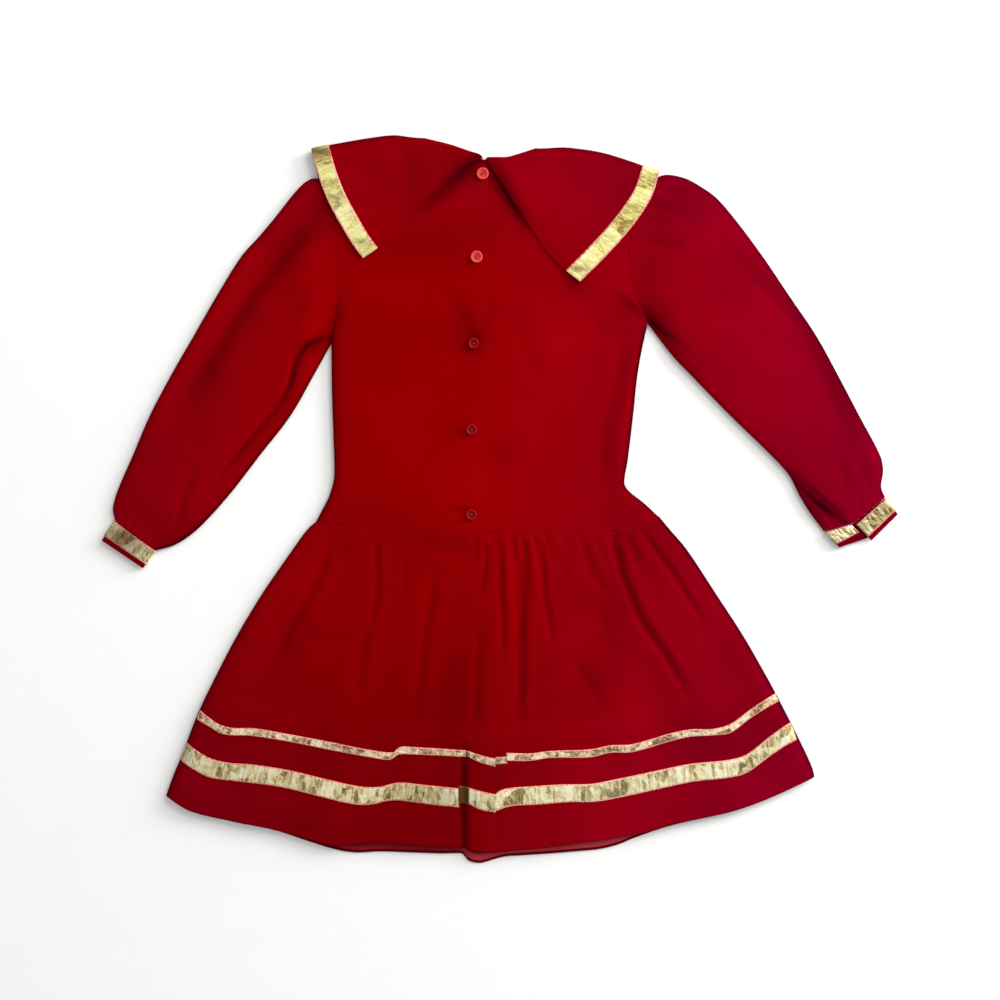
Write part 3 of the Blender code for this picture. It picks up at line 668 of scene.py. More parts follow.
def back_shade(place, u, v):
    """Painted shade and light of the skirt back: its folds, pleat, edges, seam and patches."""
    _, shade = fold_relief(SKIRT_FOLDS, place)
    shade -= PLEAT_SHADE * pleat_trough(place)
    width = width_at(back_plan, v)
    shade += rim_shade(u * width, 0.5) + rim_shade((1 - u) * width, 1.2, 3.0)
    x, y = place[..., 0], place[..., 1]
    # Painted shade along the hem and along the waist seam, weaker towards the right
    seam = 0.35 - 0.27 * ramp(50, 110, x)
    shade -= 0.2 * ramp(3.0, 0.0, hem_distance(back_plan, u, v)) + seam * ramp(0.006, 0.0, v)
    # Painted shade that deepens towards the lower left, away from the lamps
    shade -= 0.02 + 0.26 * ramp(-80, -290, y) * ramp(110, -60, x) + 0.04 * ramp(80, 180, x)
    return shade + 0.12 * gather_wave(u, v) + patch_shade(SKIRT_PATCHES, place)


red_velvet = velvet("red velvet", RED_SHADE_TO_LIGHT, SHEEN_RED_SHADE_TO_LIGHT)
skirt_back = add_piece(flat_wall(
    "skirt_back_cloth", back_plan, stations(240, 560, SIDE_COLUMNS, SIDE_COLUMNS),
    stations(140, 330, (), SIDE_COLUMNS[:3]), back_under, CLOTH, back_shade,
    ("left", "right", "low")), red_velvet, ["skirt_back"])


# Skirt ribbons
#
# A narrow and a wide gold ribbon above the hem: crinkled metallic weave with a plain selvedge,
# topstitched on along both edges. Each steps at the seam on the left and breaks into the pleat,
# where it lies in painted shade. The front has the same two, underneath.

RIBBON_FILM = 0.45         # thickness of a ribbon as it shows
RIBBON_CLEAR = 0.25
RIBBON_DIP = 0.6           # how far it follows a trough under it
RIBBON_PUCKER = 0.25
RIBBON_ROWS = 13
RIBBON_STEP = 1.6          # along its length
ROLL_GAP = 7.0             # of the roll between two lengths
FRONT_ROWS = 5
FRONT_STEPS = 260
FRONT_END = 0.004          # share of the panel's width beyond each end of a front ribbon
FRONT_LENGTH = 640.0
ABOVE_DRESS = 60.0         # where a look down at the dress starts

# Upper line, lower line and painted shade of each length of ribbon, between its breaks
WIDE_LENGTHS = [
    ([(-313.5, -242), (-303, -250), (-289, -258), (-270, -262.5), (-248, -264), (-215, -269),
      (-170, -279.5), (-140, -286), (-122, -286.5), (-107, -283), (-98, -282), (-75, -284.5),
      (-41, -288)],
     [(-319.5, -260), (-306, -269), (-290, -277), (-270, -280), (-235, -284), (-210, -288.5),
      (-170, -298.5), (-145, -304), (-128, -304), (-113, -300.5), (-100, -300), (-70, -304),
      (-41, -307)], 0.0),
    ([(-41.5, -285.5), (-31, -286.5)], [(-41.5, -302.5), (-31, -304)], -0.92),
    ([(-32, -287), (-20, -290.5), (-4.5, -294)], [(-32, -303), (-20, -309), (-4.5, -312)], -0.12),
    ([(-5, -294), (0, -290), (10, -287.5), (30, -286), (60, -284), (90, -283.5), (110, -280),
      (160, -269.5), (190, -263.5), (230, -259), (247, -253.5), (270, -235.5), (285, -225),
      (291.5, -222)],
     [(-5, -311), (10, -306), (40, -304), (70, -301.5), (92, -301.5), (110, -299), (170, -286),
      (195, -281), (230, -277), (247, -272), (270, -255.5), (285, -245.5), (296.5, -239.5)], 0.0),
]
NARROW_LENGTHS = [
    ([(-300, -210), (-290, -217.5), (-280, -224), (-268, -227.5), (-245, -228), (-210, -234),
      (-170, -241.5), (-130, -249.5), (-107, -252), (-102.5, -248), (-97, -246), (-88, -246.5),
      (-34, -250)],
     [(-303, -219), (-290, -226.5), (-279, -233), (-268, -235), (-248, -235.5), (-210, -241.5),
      (-170, -249.5), (-130, -257), (-111, -259.5), (-105.5, -257), (-101, -254), (-87, -254),
      (-34, -256.5)], 0.0),
    ([(-33.5, -250), (-20, -254.5), (-4.5, -258.5)],
     [(-33.5, -255.5), (-20, -262), (-4.5, -266.5)], -0.25),
    ([(-5, -257), (7, -256)], [(-5, -264), (7, -263)], 0.0),
    ([(6, -252.5), (30, -253), (50, -250.5), (90, -249), (110, -245), (130, -244), (150, -239),
      (170, -233), (190, -229), (212, -228.5), (230, -223.5), (250, -209), (268, -197),
      (275.5, -193)],
     [(6, -260.5), (30, -260.5), (50, -257.5), (90, -257), (110, -252.5), (130, -252),
      (150, -247), (170, -241), (190, -236.5), (212, -235), (230, -232.5), (250, -218),
      (268, -206.5), (278.5, -201)], 0.0),
]

# Stretches of painted shade and painted light on the ribbons: shade, middle, and half width and
# half height
GOLD_PATCHES = [
    (-0.20, (-260, -270), (110, 40)),
    (-0.30, (-316, -252), (12, 14)),
    (-0.40, (-70, -298), (50, 20)),
    (-0.28, (-286, -222), (14, 8)),
    (-0.34, (-146, -250), (18, 8)),
    (0.13, (140, -285), (130, 40)),
    (-0.40, (298, -232), (9, 14)),
    (-0.40, (279, -197), (7, 9)),
    (-0.80, (-380, -36), (20, 14)),
    (-0.38, (-360, -52), (20, 14)),
    (0.30, (-351, -60), (7, 6)),
    (-0.60, (334, -44), (13, 10)),
    (-0.60, (364, -28), (10, 10)),
    (-0.38, (384, -10), (14, 12)),
    (-0.85, (-181, 348), (22, 6)),
    (-0.16, (-177, 333), (6, 9)),
    (-0.60, (-138, 258), (11, 3)),
    (-0.30, (-134, 247), (8, 6)),
    (-0.60, (80, 231), (8, 4)),
    (0.16, (-158, 292), (22, 32)),
    (-0.14, (125, 275), (40, 50)),
    (-0.35, (156, 322), (12, 5)),
]


def gold(name, tones, patch, edging, seed):
    """Crinkled metallic ribbon with a thread selvedge; edging is its share of the width.

    The film lies in panes and facets with sharp creases between them, painted from pale gold glints
    to olive shade.
    """
    material, wire = new_material(name)
    flat = wire.node("UVMap", uv_map="ribbon")
    along, across = (wire.node("SeparateXYZ", {0: flat}, output=axis) for axis in "XY")
    place = wire.node("TexCoord", output="Object")
    bend = wire.node("TexNoise", {"Vector": place, "Scale": 110.0, "Detail": 3.0}) - 0.5

    def facets(length, rows, slant, shift):
        """A value for each facet of the film, of a length along it and in rows across it."""
        spot = wire.node("CombineXYZ", {
            0: along * (1.0 / length) + across * slant + bend * 0.25,
            1: across * rows + bend * 0.2, 2: seed + shift})
        cell = wire.node("TexVoronoi", {"Vector": spot, "Scale": 1.0}, "Color")
        return wire.node("SeparateXYZ", {0: cell}) - 0.5

    grain = wire.node("TexNoise", {"Vector": place, "Scale": 480.0, "Detail": 3.0}) - 0.5
    soft = wire.node("TexNoise", {"Vector": place, "Scale": 150.0, "Detail": 2.0}) - 0.5
    panes = facets(patch, 0.8, 0.5, 0.0)
    creases = facets(0.0042, 2.6, -1.6, 5.0)
    pleats = facets(0.0026, 0.3, 0.4, 9.0)
    tone = panes * 0.55 + creases * 0.45 + pleats * 0.4 + soft * 0.3 + grain * 0.5 + 0.52
    film = wire.node("ValToRGB", {0: tone}, stops=tones)
    from_edge = 0.5 - wire.math("ABSOLUTE", across - 0.5)
    selvedge = 1.0 - from_edge.between(0.8 * edging, 1.2 * edging)
    tooth = wire.node("TexNoise", {"Vector": wire.node("CombineXYZ", {0: along, 2: across * 0.004}),
                                   "Scale": 800.0, "Detail": 1.0})
    teeth = tooth.between(0.4, 0.6).mix(paint(202, 92, 76), paint(248, 190, 168))
    shade = vertex_shade(wire)
    # Painted shade below 0 turns the film olive brown; painted light above 0 turns it pale
    colour = (0.0 - shade).clamped().mix(selvedge.mix(film, teeth), paint(92, 54, 0))
    colour = shade.clamped().mix(colour, paint(255, 248, 214))
    height = panes + creases * 1.4 + pleats + soft + grain * 0.8
    normal = wire.node("Bump", {"Height": height, "Strength": 0.32, "Distance": 0.0009})
    shader = wire.node("BsdfPrincipled", {
        "Base Color": colour, "Metallic": 0.75 - selvedge * 0.65,
        "Roughness": 0.40 + selvedge * 0.3 + grain * 0.3, "Normal": normal})
    wire.node("OutputMaterial", {"Surface": shader})
    return material


def surface_tree(*pieces):
    """Search tree of the shapes of pieces, in millimetres, to lay trim on them."""
    points, faces = [], []
    for piece in pieces:
        start = len(points)
        points += [vert.co / MM for vert in piece.data.vertices]
        faces += [[start + i for i in face.vertices] for face in piece.data.polygons]
    return BVHTree.FromPolygons(points, faces)


def top_of(tree, x, y):
    """Height of the highest surface at a place."""
    hit = tree.ray_cast(Vector((x, y, ABOVE_DRESS)), Vector((0, 0, -1)))[0]
    return 0.0 if hit is None else hit.z


def laid_strip(tree, upper, lower):
    """Inner and outer faces of a strip on the surface under it, and its length so far."""
    length = np.linalg.norm(np.subtract(upper[-1], upper[0]))
    shares = np.linspace(0, 1, max(6, round(length / RIBBON_STEP)))
    top, low = edge(upper)(shares), edge(lower)(shares)
    across = strip_rows(RIBBON_ROWS)[:, None]
    v = across[..., None]
    place = top[None] * (1 - v) + low[None] * v
    height = np.array([[top_of(tree, *point) for point in row] for row in place])
    height = np.maximum(height, height.mean(axis=0) - RIBBON_DIP) + RIBBON_CLEAR
    along = np.concatenate([[0], np.cumsum(np.linalg.norm(np.diff(top, axis=0), axis=1))])
    ripple = np.sin(along * 0.83 + 3 * np.sin(along * 0.11)) * np.sin(along * 0.31 + 2)
    height += RIBBON_PUCKER * ripple * np.sin(np.pi * across) ** 0.5
    share = np.minimum(1, 0.4 + 12 * np.minimum(across, 1 - across))
    return raised(place, height), raised(place, height + RIBBON_FILM * share), along


def join_meshes(name, meshes):
    """One mesh from several, which keeps their maps and shades."""
    shape = bmesh.new()
    for mesh in meshes:
        shape.from_mesh(mesh)
        bpy.data.meshes.remove(mesh)
    joined = bpy.data.meshes.new(name)
    shape.to_mesh(joined)
    shape.free()
    joined.shade_smooth()
    return joined


def ribbon_piece(name, tree, lengths, material, replaces):
    """A ribbon in lengths, each starting further along the same roll."""
    parts, start = [], 0.0
    for number, (upper, lower, shade) in enumerate(lengths):
        inner, outer, along = laid_strip(tree, upper, lower)
        shade = shade + patch_shade(GOLD_PATCHES, inner[..., :2])
        parts.append(wall_mesh(f"{name}_{number}", inner, outer, shade, along + start))
        start += along[-1] + ROLL_GAP
    return add_piece(join_meshes(name, parts), material, replaces)


# Tones of the crinkled film from dark to pale: painted shade and painted glints of its facets
PALE_GOLD = [(0.0, paint(108, 92, 46)), (0.22, paint(148, 128, 78)),
             (0.42, paint(204, 188, 134)), (0.60, paint(236, 223, 174)),
             (0.80, paint(250, 240, 194)), (1.0, paint(255, 253, 228))]
ROSE_GOLD = [(0.0, paint(104, 72, 42)), (0.22, paint(148, 114, 78)),
             (0.42, paint(202, 164, 126)), (0.60, paint(236, 204, 166)),
             (0.80, paint(250, 224, 188)), (1.0, paint(255, 244, 216))]
wide_gold = gold("wide gold ribbon", PALE_GOLD, 0.012, 0.08, 3.1)
narrow_gold = gold("narrow gold ribbon", ROSE_GOLD, 0.010, 0.13, 7.7)
skirt_tree = surface_tree(skirt_back)
wide_back = ribbon_piece("wide_ribbon_back", skirt_tree, WIDE_LENGTHS, wide_gold,
                         ["skirt_ribbon_wide_back"])
narrow_back = ribbon_piece("narrow_ribbon_back", skirt_tree, NARROW_LENGTHS, narrow_gold,
                           ["skirt_ribbon_narrow_back"])


def front_ribbon(name, upper, lower, material, replaces):
    """A ribbon on the outer side of the front, flat on the table."""
    shares = np.linspace(FRONT_END, 1 - FRONT_END, FRONT_STEPS)
    rows = upper + (lower - upper) * strip_rows(FRONT_ROWS)
    length = length_at(front_plan, shares)
    place = np.stack([front_plan(shares, 1 - distance / length) for distance in rows])
    along = np.linspace(0, FRONT_LENGTH, len(shares))
    low = raised(place, np.zeros(place.shape[:2]))
    high = low + np.array([0, 0, RIBBON])
    return add_piece(wall_mesh(name, low, high, along=along), material, replaces)


wide_front = front_ribbon("wide_ribbon_front", HEM_TO_WIDE + WIDE_WIDTH, HEM_TO_WIDE, wide_gold,
                          ["skirt_ribbon_wide_front"])
narrow_front = front_ribbon("narrow_ribbon_front", NARROW_TOP, NARROW_TOP - NARROW_WIDTH,
                            narrow_gold, ["skirt_ribbon_narrow_front"])


# Bodice
#
# A front and two backs in the same velvet, from the shoulders to the dropped waist. The left
# back buttons over the right one down a placket, and the front lies under both. The folded
# collar lifts the bodice at the shoulders.

COLLAR_CLOTH = 1.3
COLLAR_PILE = RIBBON + GAP + COLLAR_CLOTH + GAP
OVERLAP_LEFT_X = -40.0
OVERLAP_RIGHT_X = -12.0
BODICE_CROWN = 3.8
ARMHOLE_LEFT = [(-176, 316), (-166, 285), (-160, 240), (-162, 200), (-169, 159)]
ARMHOLE_RIGHT = [(151, 316), (138, 285), (130, 245), (132, 210), (148, 178)]
SIDE_LEFT = [(-169, 159), (-168.5, 110), (-167, 65), (-166, 35), (-166.5, 20), (-171, 4),
             (-176, -6), (-185, -23)]
SIDE_RIGHT = [(148, 178), (141, 145), (137, 120), (134, 90), (128, 40), (124.5, 17),
              (129, 9), (144, -3), (159, -17)]

# Troughs of the back: depth, width to the left and to the right, ridge, and line
BODICE_FOLDS = [
    (1.1, 9, 7, 0.1, [(-50, 204), (-38, 184), (-29, 164)]),
    (0.7, 5, 5, 0.1, [(-8, 196), (-15, 180), (-22, 166)]),
    (1.2, 6, 6, 0.0, [(-27, 168), (-26, 150)]),
    (1.8, 8, 9, 0.2, [(124, 162), (114, 102), (104, 68), (103, 30), (116, -4)]),
    (0.8, 6, 6, 0.1, [(91, 178), (112, 160)]),
    (1.1, 9, 9, 0.1, [(-115, 250), (-70, 249), (-30, 248)]),
    (0.8, 10, 10, 0.1, [(-84, 160), (-38, 156)]),
    (0.9, 9, 9, 0.1, [(0, 223), (53, 214)]),
    (0.7, 8, 10, 0.1, [(10, 178), (24, 150), (45, 110)]),
]
# Broad patches of painted light and painted shade: shade, middle, and half width and half height
BODICE_PATCHES = [
    (0.16, (-95, 85), (40, 90)),
    (0.26, (62, 160), (42, 44)),
    (0.14, (-92, 205), (40, 26)),
    (0.14, (20, 80), (60, 60)),
    (0.16, (-30, 5), (60, 34)),
    (0.12, (20, 225), (34, 26)),
    (0.12, (62, 290), (34, 34)),
    (0.12, (128, 222), (26, 26)),
    (-0.22, (-42, 338), (30, 18)),
    (-0.12, (-26, 272), (30, 16)),
    (-0.50, (-27, 158), (11, 13)),
    (-0.16, (-36, 178), (14, 16)),
    (-0.14, (-40, 71), (16, 8)),
    (-0.18, (4, 48), (16, 20)),
    (0.12, (-24, 32), (12, 36)),
    (-0.50, (-36, -9), (12, 2.6)),
    (0.10, (-32, -26), (20, 4)),
    (-0.22, (-162, 188), (8, 14)),
    (-0.16, (126, 190), (13, 8)),
    (-0.05, (108, 40), (16, 70)),
    (-0.10, (-80, 262), (46, 14)),
    (-0.20, (82, 214), (12, 10)),
    (0.08, (30, 20), (50, 60)),
    (-0.12, (135, -16), (26, 16)),
    (-0.12, (-130, -15), (40, 14)),
]

# Painted shadows beside the collar and under the right arm and, below 0, painted light beside a
# shadow and along the right side: line, and strength and width at steps along it
COLLAR_SHADOWS = [
    ([(-20, 342), (-34, 329.5), (-55, 310.5), (-70, 296), (-100, 270), (-125, 249)],
     [0.5, 0.65, 0.5, 0.12, 0.05, 0.15], [8, 9, 8, 7, 6, 7]),
    ([(-8, 341), (7, 307), (20, 286), (28, 273), (53, 240), (72, 217)],
     [0.3, 0.65, 0.65, 0.1, 0.1, 0.35], [7, 9, 8, 5, 5, 7]),
    ([(18, 290), (36, 263.5), (50, 244), (66, 229)], [0.0, -0.4, -0.4, -0.3], [2, 2, 2, 2]),
    ([(136, 160), (131, 110), (124.5, 60), (120, 25)], [-0.05, -0.14, -0.12, -0.05], [5, 5, 5, 5]),
    ([(118, 207), (130, 197), (146, 181)], [0.15, 0.4, 0.5], [5, 5, 4]),
]


def line_shade(shadows, place):
    """Painted shadow along lines whose strength and width change from point to point, and painted
    light where the strength is below 0.
    """
    shade = np.zeros(place.shape[:-1])
    for line, strengths, widths in shadows:
        distance, share = along_line(line, place)
        steps = np.linspace(0, 1, len(strengths))
        width = np.interp(share, steps, widths)
        shade -= np.interp(share, steps, strengths) * np.exp(-(distance / width) ** 2)
    return shade


def rest_level(y):
    """Height of the underside: the front collar lobes lift the dress near the shoulders."""
    return COLLAR_PILE * ramp(160, 212, y)


def side_x(outline, y):
    """X of a side of the bodice at a height."""
    points = sorted((point[1], point[0]) for point in outline)
    return np.interp(y, [point[0] for point in points], [point[1] for point in points])


def from_sides(place):
    """Distance from the nearer side of the bodice."""
    x, y = place[..., 0], place[..., 1]
    return np.minimum(x - side_x(ARMHOLE_LEFT + SIDE_LEFT[1:], y),
                      side_x(ARMHOLE_RIGHT + SIDE_RIGHT[1:], y) - x)


def back_crown(place):
    """Rise of the back above the front, level but for its folds, and none at its edges."""
    y = place[..., 1]
    height, _ = fold_relief(BODICE_FOLDS, place)
    full = BODICE_CROWN * ramp(225, 150, y) + height * ramp(265, 215, y)
    return kept_above(0.1, full) * side_profile(from_sides(place))


def bodice_height(place, layer):
    """Height of the inner face of a bodice panel; layer is front, under or buttoned."""
    x, y = place[..., 0], place[..., 1]
    height = rest_level(y)
    if layer == "front":
        return height
    height = height + PANEL_PILE + back_crown(place)
    if layer == "buttoned":
        height = height + PLACKET_STEP * ramp(-130, -50, x)
    above_seam = y - np.interp(x, *np.transpose(WAIST))
    return height - SEAM_DIP * ramp(5.0, 0.0, above_seam)


def bodice_shade(place, u, v):
    """Painted shade and light of the bodice: its folds and patches, the collar's shadows and its
    own sides.
    """
    _, shade = fold_relief(BODICE_FOLDS, place)
    shade = shade + patch_shade(BODICE_PATCHES, place) + line_shade(COLLAR_SHADOWS, place)
    x, y = place[..., 0], place[..., 1]
    # Painted shade along the sides, stronger on the right
    strength, reach = np.where(x < 0, 0.55, 1.3), np.where(x < 0, 2.3, 3.2)
    return shade + rim_shade(from_sides(place), strength, reach) * ramp(182, 165, y)


def buttoned_shade(place, u, v):
    """Painted shade on the placket's edge, which turns down to the layer below, so it catches no
    more light than that layer.
    """
    return bodice_shade(place, u, v) - 0.24 * ramp(OVERLAP_RIGHT_X - 1.3, OVERLAP_RIGHT_X - 0.5,
                                                   place[..., 0])


def bodice_panel(name, plan, columns, rows, layer, replaces):
    """A panel of the bodice at the height, and in the painted shade and light, of its layer."""
    def under(place, u, v):
        return bodice_height(place, layer)

    shade = {"front": None, "under": bodice_shade, "buttoned": buttoned_shade}[layer]
    return add_piece(flat_wall(name, plan, columns, rows, under, CLOTH, shade), red_velvet,
                     replaces)


side_left = edge(ARMHOLE_LEFT, SIDE_LEFT)
side_right = edge(ARMHOLE_RIGHT, SIDE_RIGHT)
shoulder_left = [(-176, 316), (-75, 352)]
shoulder_right = [(35, 343), (151, 316)]
front_neck = [(-75, 352), (-60, 318), (-20, 294), (12, 306), (35, 343)]
bodice_front = bodice_panel(
    "bodice_front_cloth",
    panel_plan(edge(shoulder_left, front_neck, shoulder_right), edge(WAIST), side_left, side_right),
    stations(70, 320), stations(80, 360), "front", ["bodice_front"])
buttoned_plan = panel_plan(
    edge(shoulder_left, [(-75, 352), (-40, 344), (OVERLAP_RIGHT_X, 339.5)]),
    edge(WAIST[:2] + [(OVERLAP_RIGHT_X, -36.2)]), side_left,
    edge([(OVERLAP_RIGHT_X, 339.5), (OVERLAP_RIGHT_X, -36.2)]))
back_left = bodice_panel(
    "bodice_back_left_cloth", buttoned_plan, stations(110, 156, far=(0.3, 0.8, 1.5)),
    stations(190, 370, far=(0.3, 0.8, 2.0)), "buttoned", ["bodice_back_left"])
back_right = bodice_panel(
    "bodice_back_right_cloth",
    panel_plan(edge([(OVERLAP_LEFT_X, 343), (-10, 339.6), (35, 344)], shoulder_right),
               edge([(OVERLAP_LEFT_X, -35.4)] + WAIST[2:]),
               edge([(OVERLAP_LEFT_X, 343), (OVERLAP_LEFT_X, -35.4)]), side_right),
    stations(110, 175), stations(190, 370, far=(0.3, 0.8, 2.0)), "under", ["bodice_back_right"])


# Sleeves
#
# Long velvet sleeves, gathered into the armhole at the shoulder and into the cuff at the wrist.
# Each is one piece with a seam under the arm, and lies as a flattened tube, full above and flat
# underneath.

SLEEVE_LEFT_OUTER = [(-176, 316), (-184, 322), (-191, 320.5), (-197, 316.5), (-208, 304.5),
                     (-224, 284.5), (-241, 264.5), (-259, 244.5), (-284, 204.5),
                     (-307, 164.5), (-330, 124.5), (-351, 84.5), (-368, 44.5),
                     (-383, 10), (-388, -8), (-386.2, -19.4)]
SLEEVE_LEFT_INNER = [(-169, 159), (-176, 144.5), (-187, 124.5), (-210, 84.5), (-241, 44.5),
                     (-272, 4.5), (-303.5, -29.5), (-325, -44.5), (-344.1, -50.4)]
SLEEVE_RIGHT_OUTER = [(151, 316), (158, 323), (166, 325.5), (176, 324.5), (187, 321.3),
                      (197, 316), (215, 304), (233, 284.5), (263, 244.5), (290, 204.5),
                      (317, 164.5), (339, 124.5), (360, 84.5), (381, 44.5), (384, 30),
                      (382, 13), (385.8, 2.6)]
SLEEVE_RIGHT_INNER = [(148, 178), (173, 144.5), (192, 124.5), (231, 84.5), (272, 44.5),
                      (290, 24.5), (300, 5), (311, -13), (324.6, -31.2)]
ARMHOLE_LAP = 0.8
EDGE_HEIGHT = CLOTH + 0.15
SLEEVE_FULLNESS = 6.5
UPPER_SHARE = 0.68         # of the columns, on the upper layer
SLEEVE_ROUNDNESS = 0.62    # of the upper layer: lower is fuller towards the edges
SLEEVE_COLUMNS = 110
SLEEVE_ROWS = 150
SLEEVE_LENGTH = 390.0

# Troughs of the sleeves: depth, width to the left and to the right, ridge, and line
SLEEVE_FOLDS = [
    (1.8, 12, 14, 0.2, [(-172, 284), (-196, 278), (-226, 262)]),
    (2.2, 6, 12, 0.2, [(-195, 254), (-238, 216), (-268, 172), (-292, 130), (-326, 88)]),
    (1.0, 6, 8, 0.2, [(-172, 232), (-205, 190), (-222, 158)]),
    (1.6, 3.5, 4.5, 0.3, [(-306, 28), (-315, 5), (-321, -17), (-326, -40)]),
    (0.9, 8, 8, 0.1, [(-300, 88), (-305, 40)]),
    (3.4, 1.4, 7, -0.1, [(-168, 180), (-188, 160), (-206, 143), (-211, 122), (-219, 97),
                         (-246, 66), (-266, 42), (-299, -2)]),
    (1.2, 4, 4, 0.3, [(158, 313), (190, 304)]),
    (1.0, 4, 4, 0.3, [(152, 297), (172, 287)]),
    (1.6, 8, 8, 0.2, [(134, 262), (160, 256), (190, 248)]),
    (2.0, 8, 8, -0.2, [(227, 252), (259, 217), (301, 175), (331, 113), (347, 81), (368, 47)]),
    (2.2, 5, 5, -0.2, [(122, 202), (147, 184), (165, 164), (190, 154)]),
    (3.0, 9, 1.6, -0.1, [(289, 30), (308, 13), (327, -3), (352, -24)]),
    (1.0, 5, 5, 0.2, [(338, 40), (352, 0)]),
    (0.9, 5, 5, 0.2, [(362, 40), (370, 6)]),
]
# Broad patches of painted light and painted shade: shade, middle, and half width and half height
SLEEVE_PATCHES = [
    (-0.20, (-200, 262), (30, 14)),
    (-0.26, (-196, 298), (18, 14)),
    (-0.42, (-164, 300), (12, 22)),
    (-0.12, (-245, 182), (14, 20)),
    (-0.12, (-290, 118), (20, 24)),
    (-0.08, (-330, 30), (34, 60)),
    (-0.30, (-186, 152), (15, 9)),
    (0.14, (-338, 112), (16, 46)),
    (0.08, (-244, 100), (24, 30)),
    (-0.14, (-312, -24), (16, 16)),
    (0.14, (212, 172), (34, 22)),
    (0.12, (262, 110), (30, 46)),
    (0.10, (165, 215), (20, 24)),
    (-0.26, (184, 296), (50, 24)),
    (-0.12, (240, 222), (30, 24)),
    (-0.35, (312, -14), (15, 16)),
    (-0.14, (345, 60), (40, 90)),
    (-0.14, (372, -6), (20, 14)),
    (-0.20, (150, 176), (14, 9)),
]

# Long painted shadows of the sleeves and, below 0, painted light on lit stretches: line, and
# strength and width at steps along it
SLEEVE_SHADOWS = [
    ([(-170, 163), (-190, 158), (-203, 140), (-207, 118), (-222, 94), (-246, 64), (-266, 40),
      (-290, 8)], [0.5, 0.5, 0.5, 0.4, 0.3, 0.35, 0.3, 0.1], [4, 3, 3, 3, 3, 2.5, 2.5, 2]),
    ([(-172, 292), (-198, 262), (-216, 238), (-250, 196), (-292, 130), (-316, 90)],
     [0.1, 0.3, 0.3, 0.28, 0.25, 0.1], [9, 8, 7, 8, 10, 12]),
    ([(-198, 300), (-240, 250), (-276, 195), (-312, 130), (-336, 80)],
     [-0.15, -0.25, -0.2, -0.2, -0.1], [8, 8, 9, 9, 10]),
    ([(140, 194), (152, 178), (166, 166), (188, 152)], [0.2, 0.6, 0.5, 0.1], [5, 4, 4, 4]),
    ([(215, 285), (245, 250), (283, 205), (312, 155), (338, 105), (358, 55), (370, 20)],
     [0.0, 0.08, 0.12, 0.16, 0.26, 0.26, 0.14], [12, 16, 16, 16, 14, 12, 10]),
    ([(178, 146), (196, 127), (235, 87), (274, 47), (290, 27)],
     [-0.1, -0.35, -0.35, -0.35, -0.1], [8, 10, 11, 10, 7]),
    ([(290, 24), (306, 8), (324, -8), (350, -26)], [0.3, 0.6, 0.7, 0.5], [3, 3, 4, 4]),
]


def head_gathers(u, v, count, end):
    """Small gathers along a seam of the sleeve, at its head or at the cuff."""
    wave = 0.5 + 0.5 * np.cos(2 * np.pi * count * u + 1.5 * np.sin(7 * u))
    length = 0.08 + 0.04 * np.sin(29 * u)
    away = v if end == "head" else 1.0 - v
    return (wave - 0.5) * ramp(length, 0.0, away) * (1.0 if end == "head" else 0.45)


def sleeve_mesh(name, plan, rims):
    """Flattened tube from the armhole to the cuff, in painted shade and light; rims are its edges'
    painted shade.
    """
    u = np.arange(SLEEVE_COLUMNS) / SLEEVE_COLUMNS
    u, v = np.meshgrid(u, stations(SLEEVE_ROWS, SLEEVE_LENGTH))
    upper = u < UPPER_SHARE
    angle = np.where(upper, np.pi * u / UPPER_SHARE,
                     np.pi * (1.0 + (u - UPPER_SHARE) / (1.0 - UPPER_SHARE)))
    width = width_at(plan, v)
    flat_place = plan(0.5 - 0.5 * np.cos(angle), v)
    ends = 0.5 + (SLEEVE_FULLNESS - 0.5) * ramp(0.0, 0.2, v) * (1 - 0.55 * ramp(0.86, 1.0, v))
    height, shade = fold_relief(SLEEVE_FOLDS, flat_place)
    gathers = head_gathers(u, v, 17, "head") * ramp(0.5, 0.2, u) + head_gathers(u, v, 15, "cuff")
    full = kept_above(0.4, ends + height * ramp(0.0, 0.07, v) + gathers)
    full = np.where(upper, full, 0.0)
    round_up = np.abs(np.sin(angle))
    faces = []
    for face in (0, 1):
        inset = (1 - face) * CLOTH
        across = 0.5 - 0.5 * np.cos(angle) * (1.0 - (1 - face) * 2.4 * CLOTH / width)
        place = plan(across, v)
        lift = rest_level(place[..., 1]) * ramp(0.25, 0.08, v)
        rise = 2 * CLOTH + full - inset - EDGE_HEIGHT
        above = EDGE_HEIGHT + rise * round_up ** SLEEVE_ROUNDNESS
        below = EDGE_HEIGHT - (EDGE_HEIGHT - inset) * np.minimum(1.0, 1.8 * round_up)
        faces.append(raised(place, lift + np.where(upper, above, below)))
    shade = shade + 0.15 * gathers + patch_shade(SLEEVE_PATCHES, flat_place)
    shade = shade + line_shade(SLEEVE_SHADOWS, flat_place)
    outer_rim, inner_rim = rims
    rim = rim_shade(across * width, *outer_rim) + rim_shade((1 - across) * width, *inner_rim)
    return wall_mesh(name, faces[0], faces[1], shade + rim * ramp(0.0, 0.03, v), closed=True)


def sleeve_plan(armhole, outer, inner, side, low):
    """Plan of a sleeve, from just inside the armhole seam to the cuff."""
    top = edge([(x - side * ARMHOLE_LAP, y) for x, y in armhole])
    first, last = top(0.0).tolist(), top(1.0).tolist()
    return panel_plan(top, low, edge([first] + outer[1:]), edge([last] + inner[1:]))


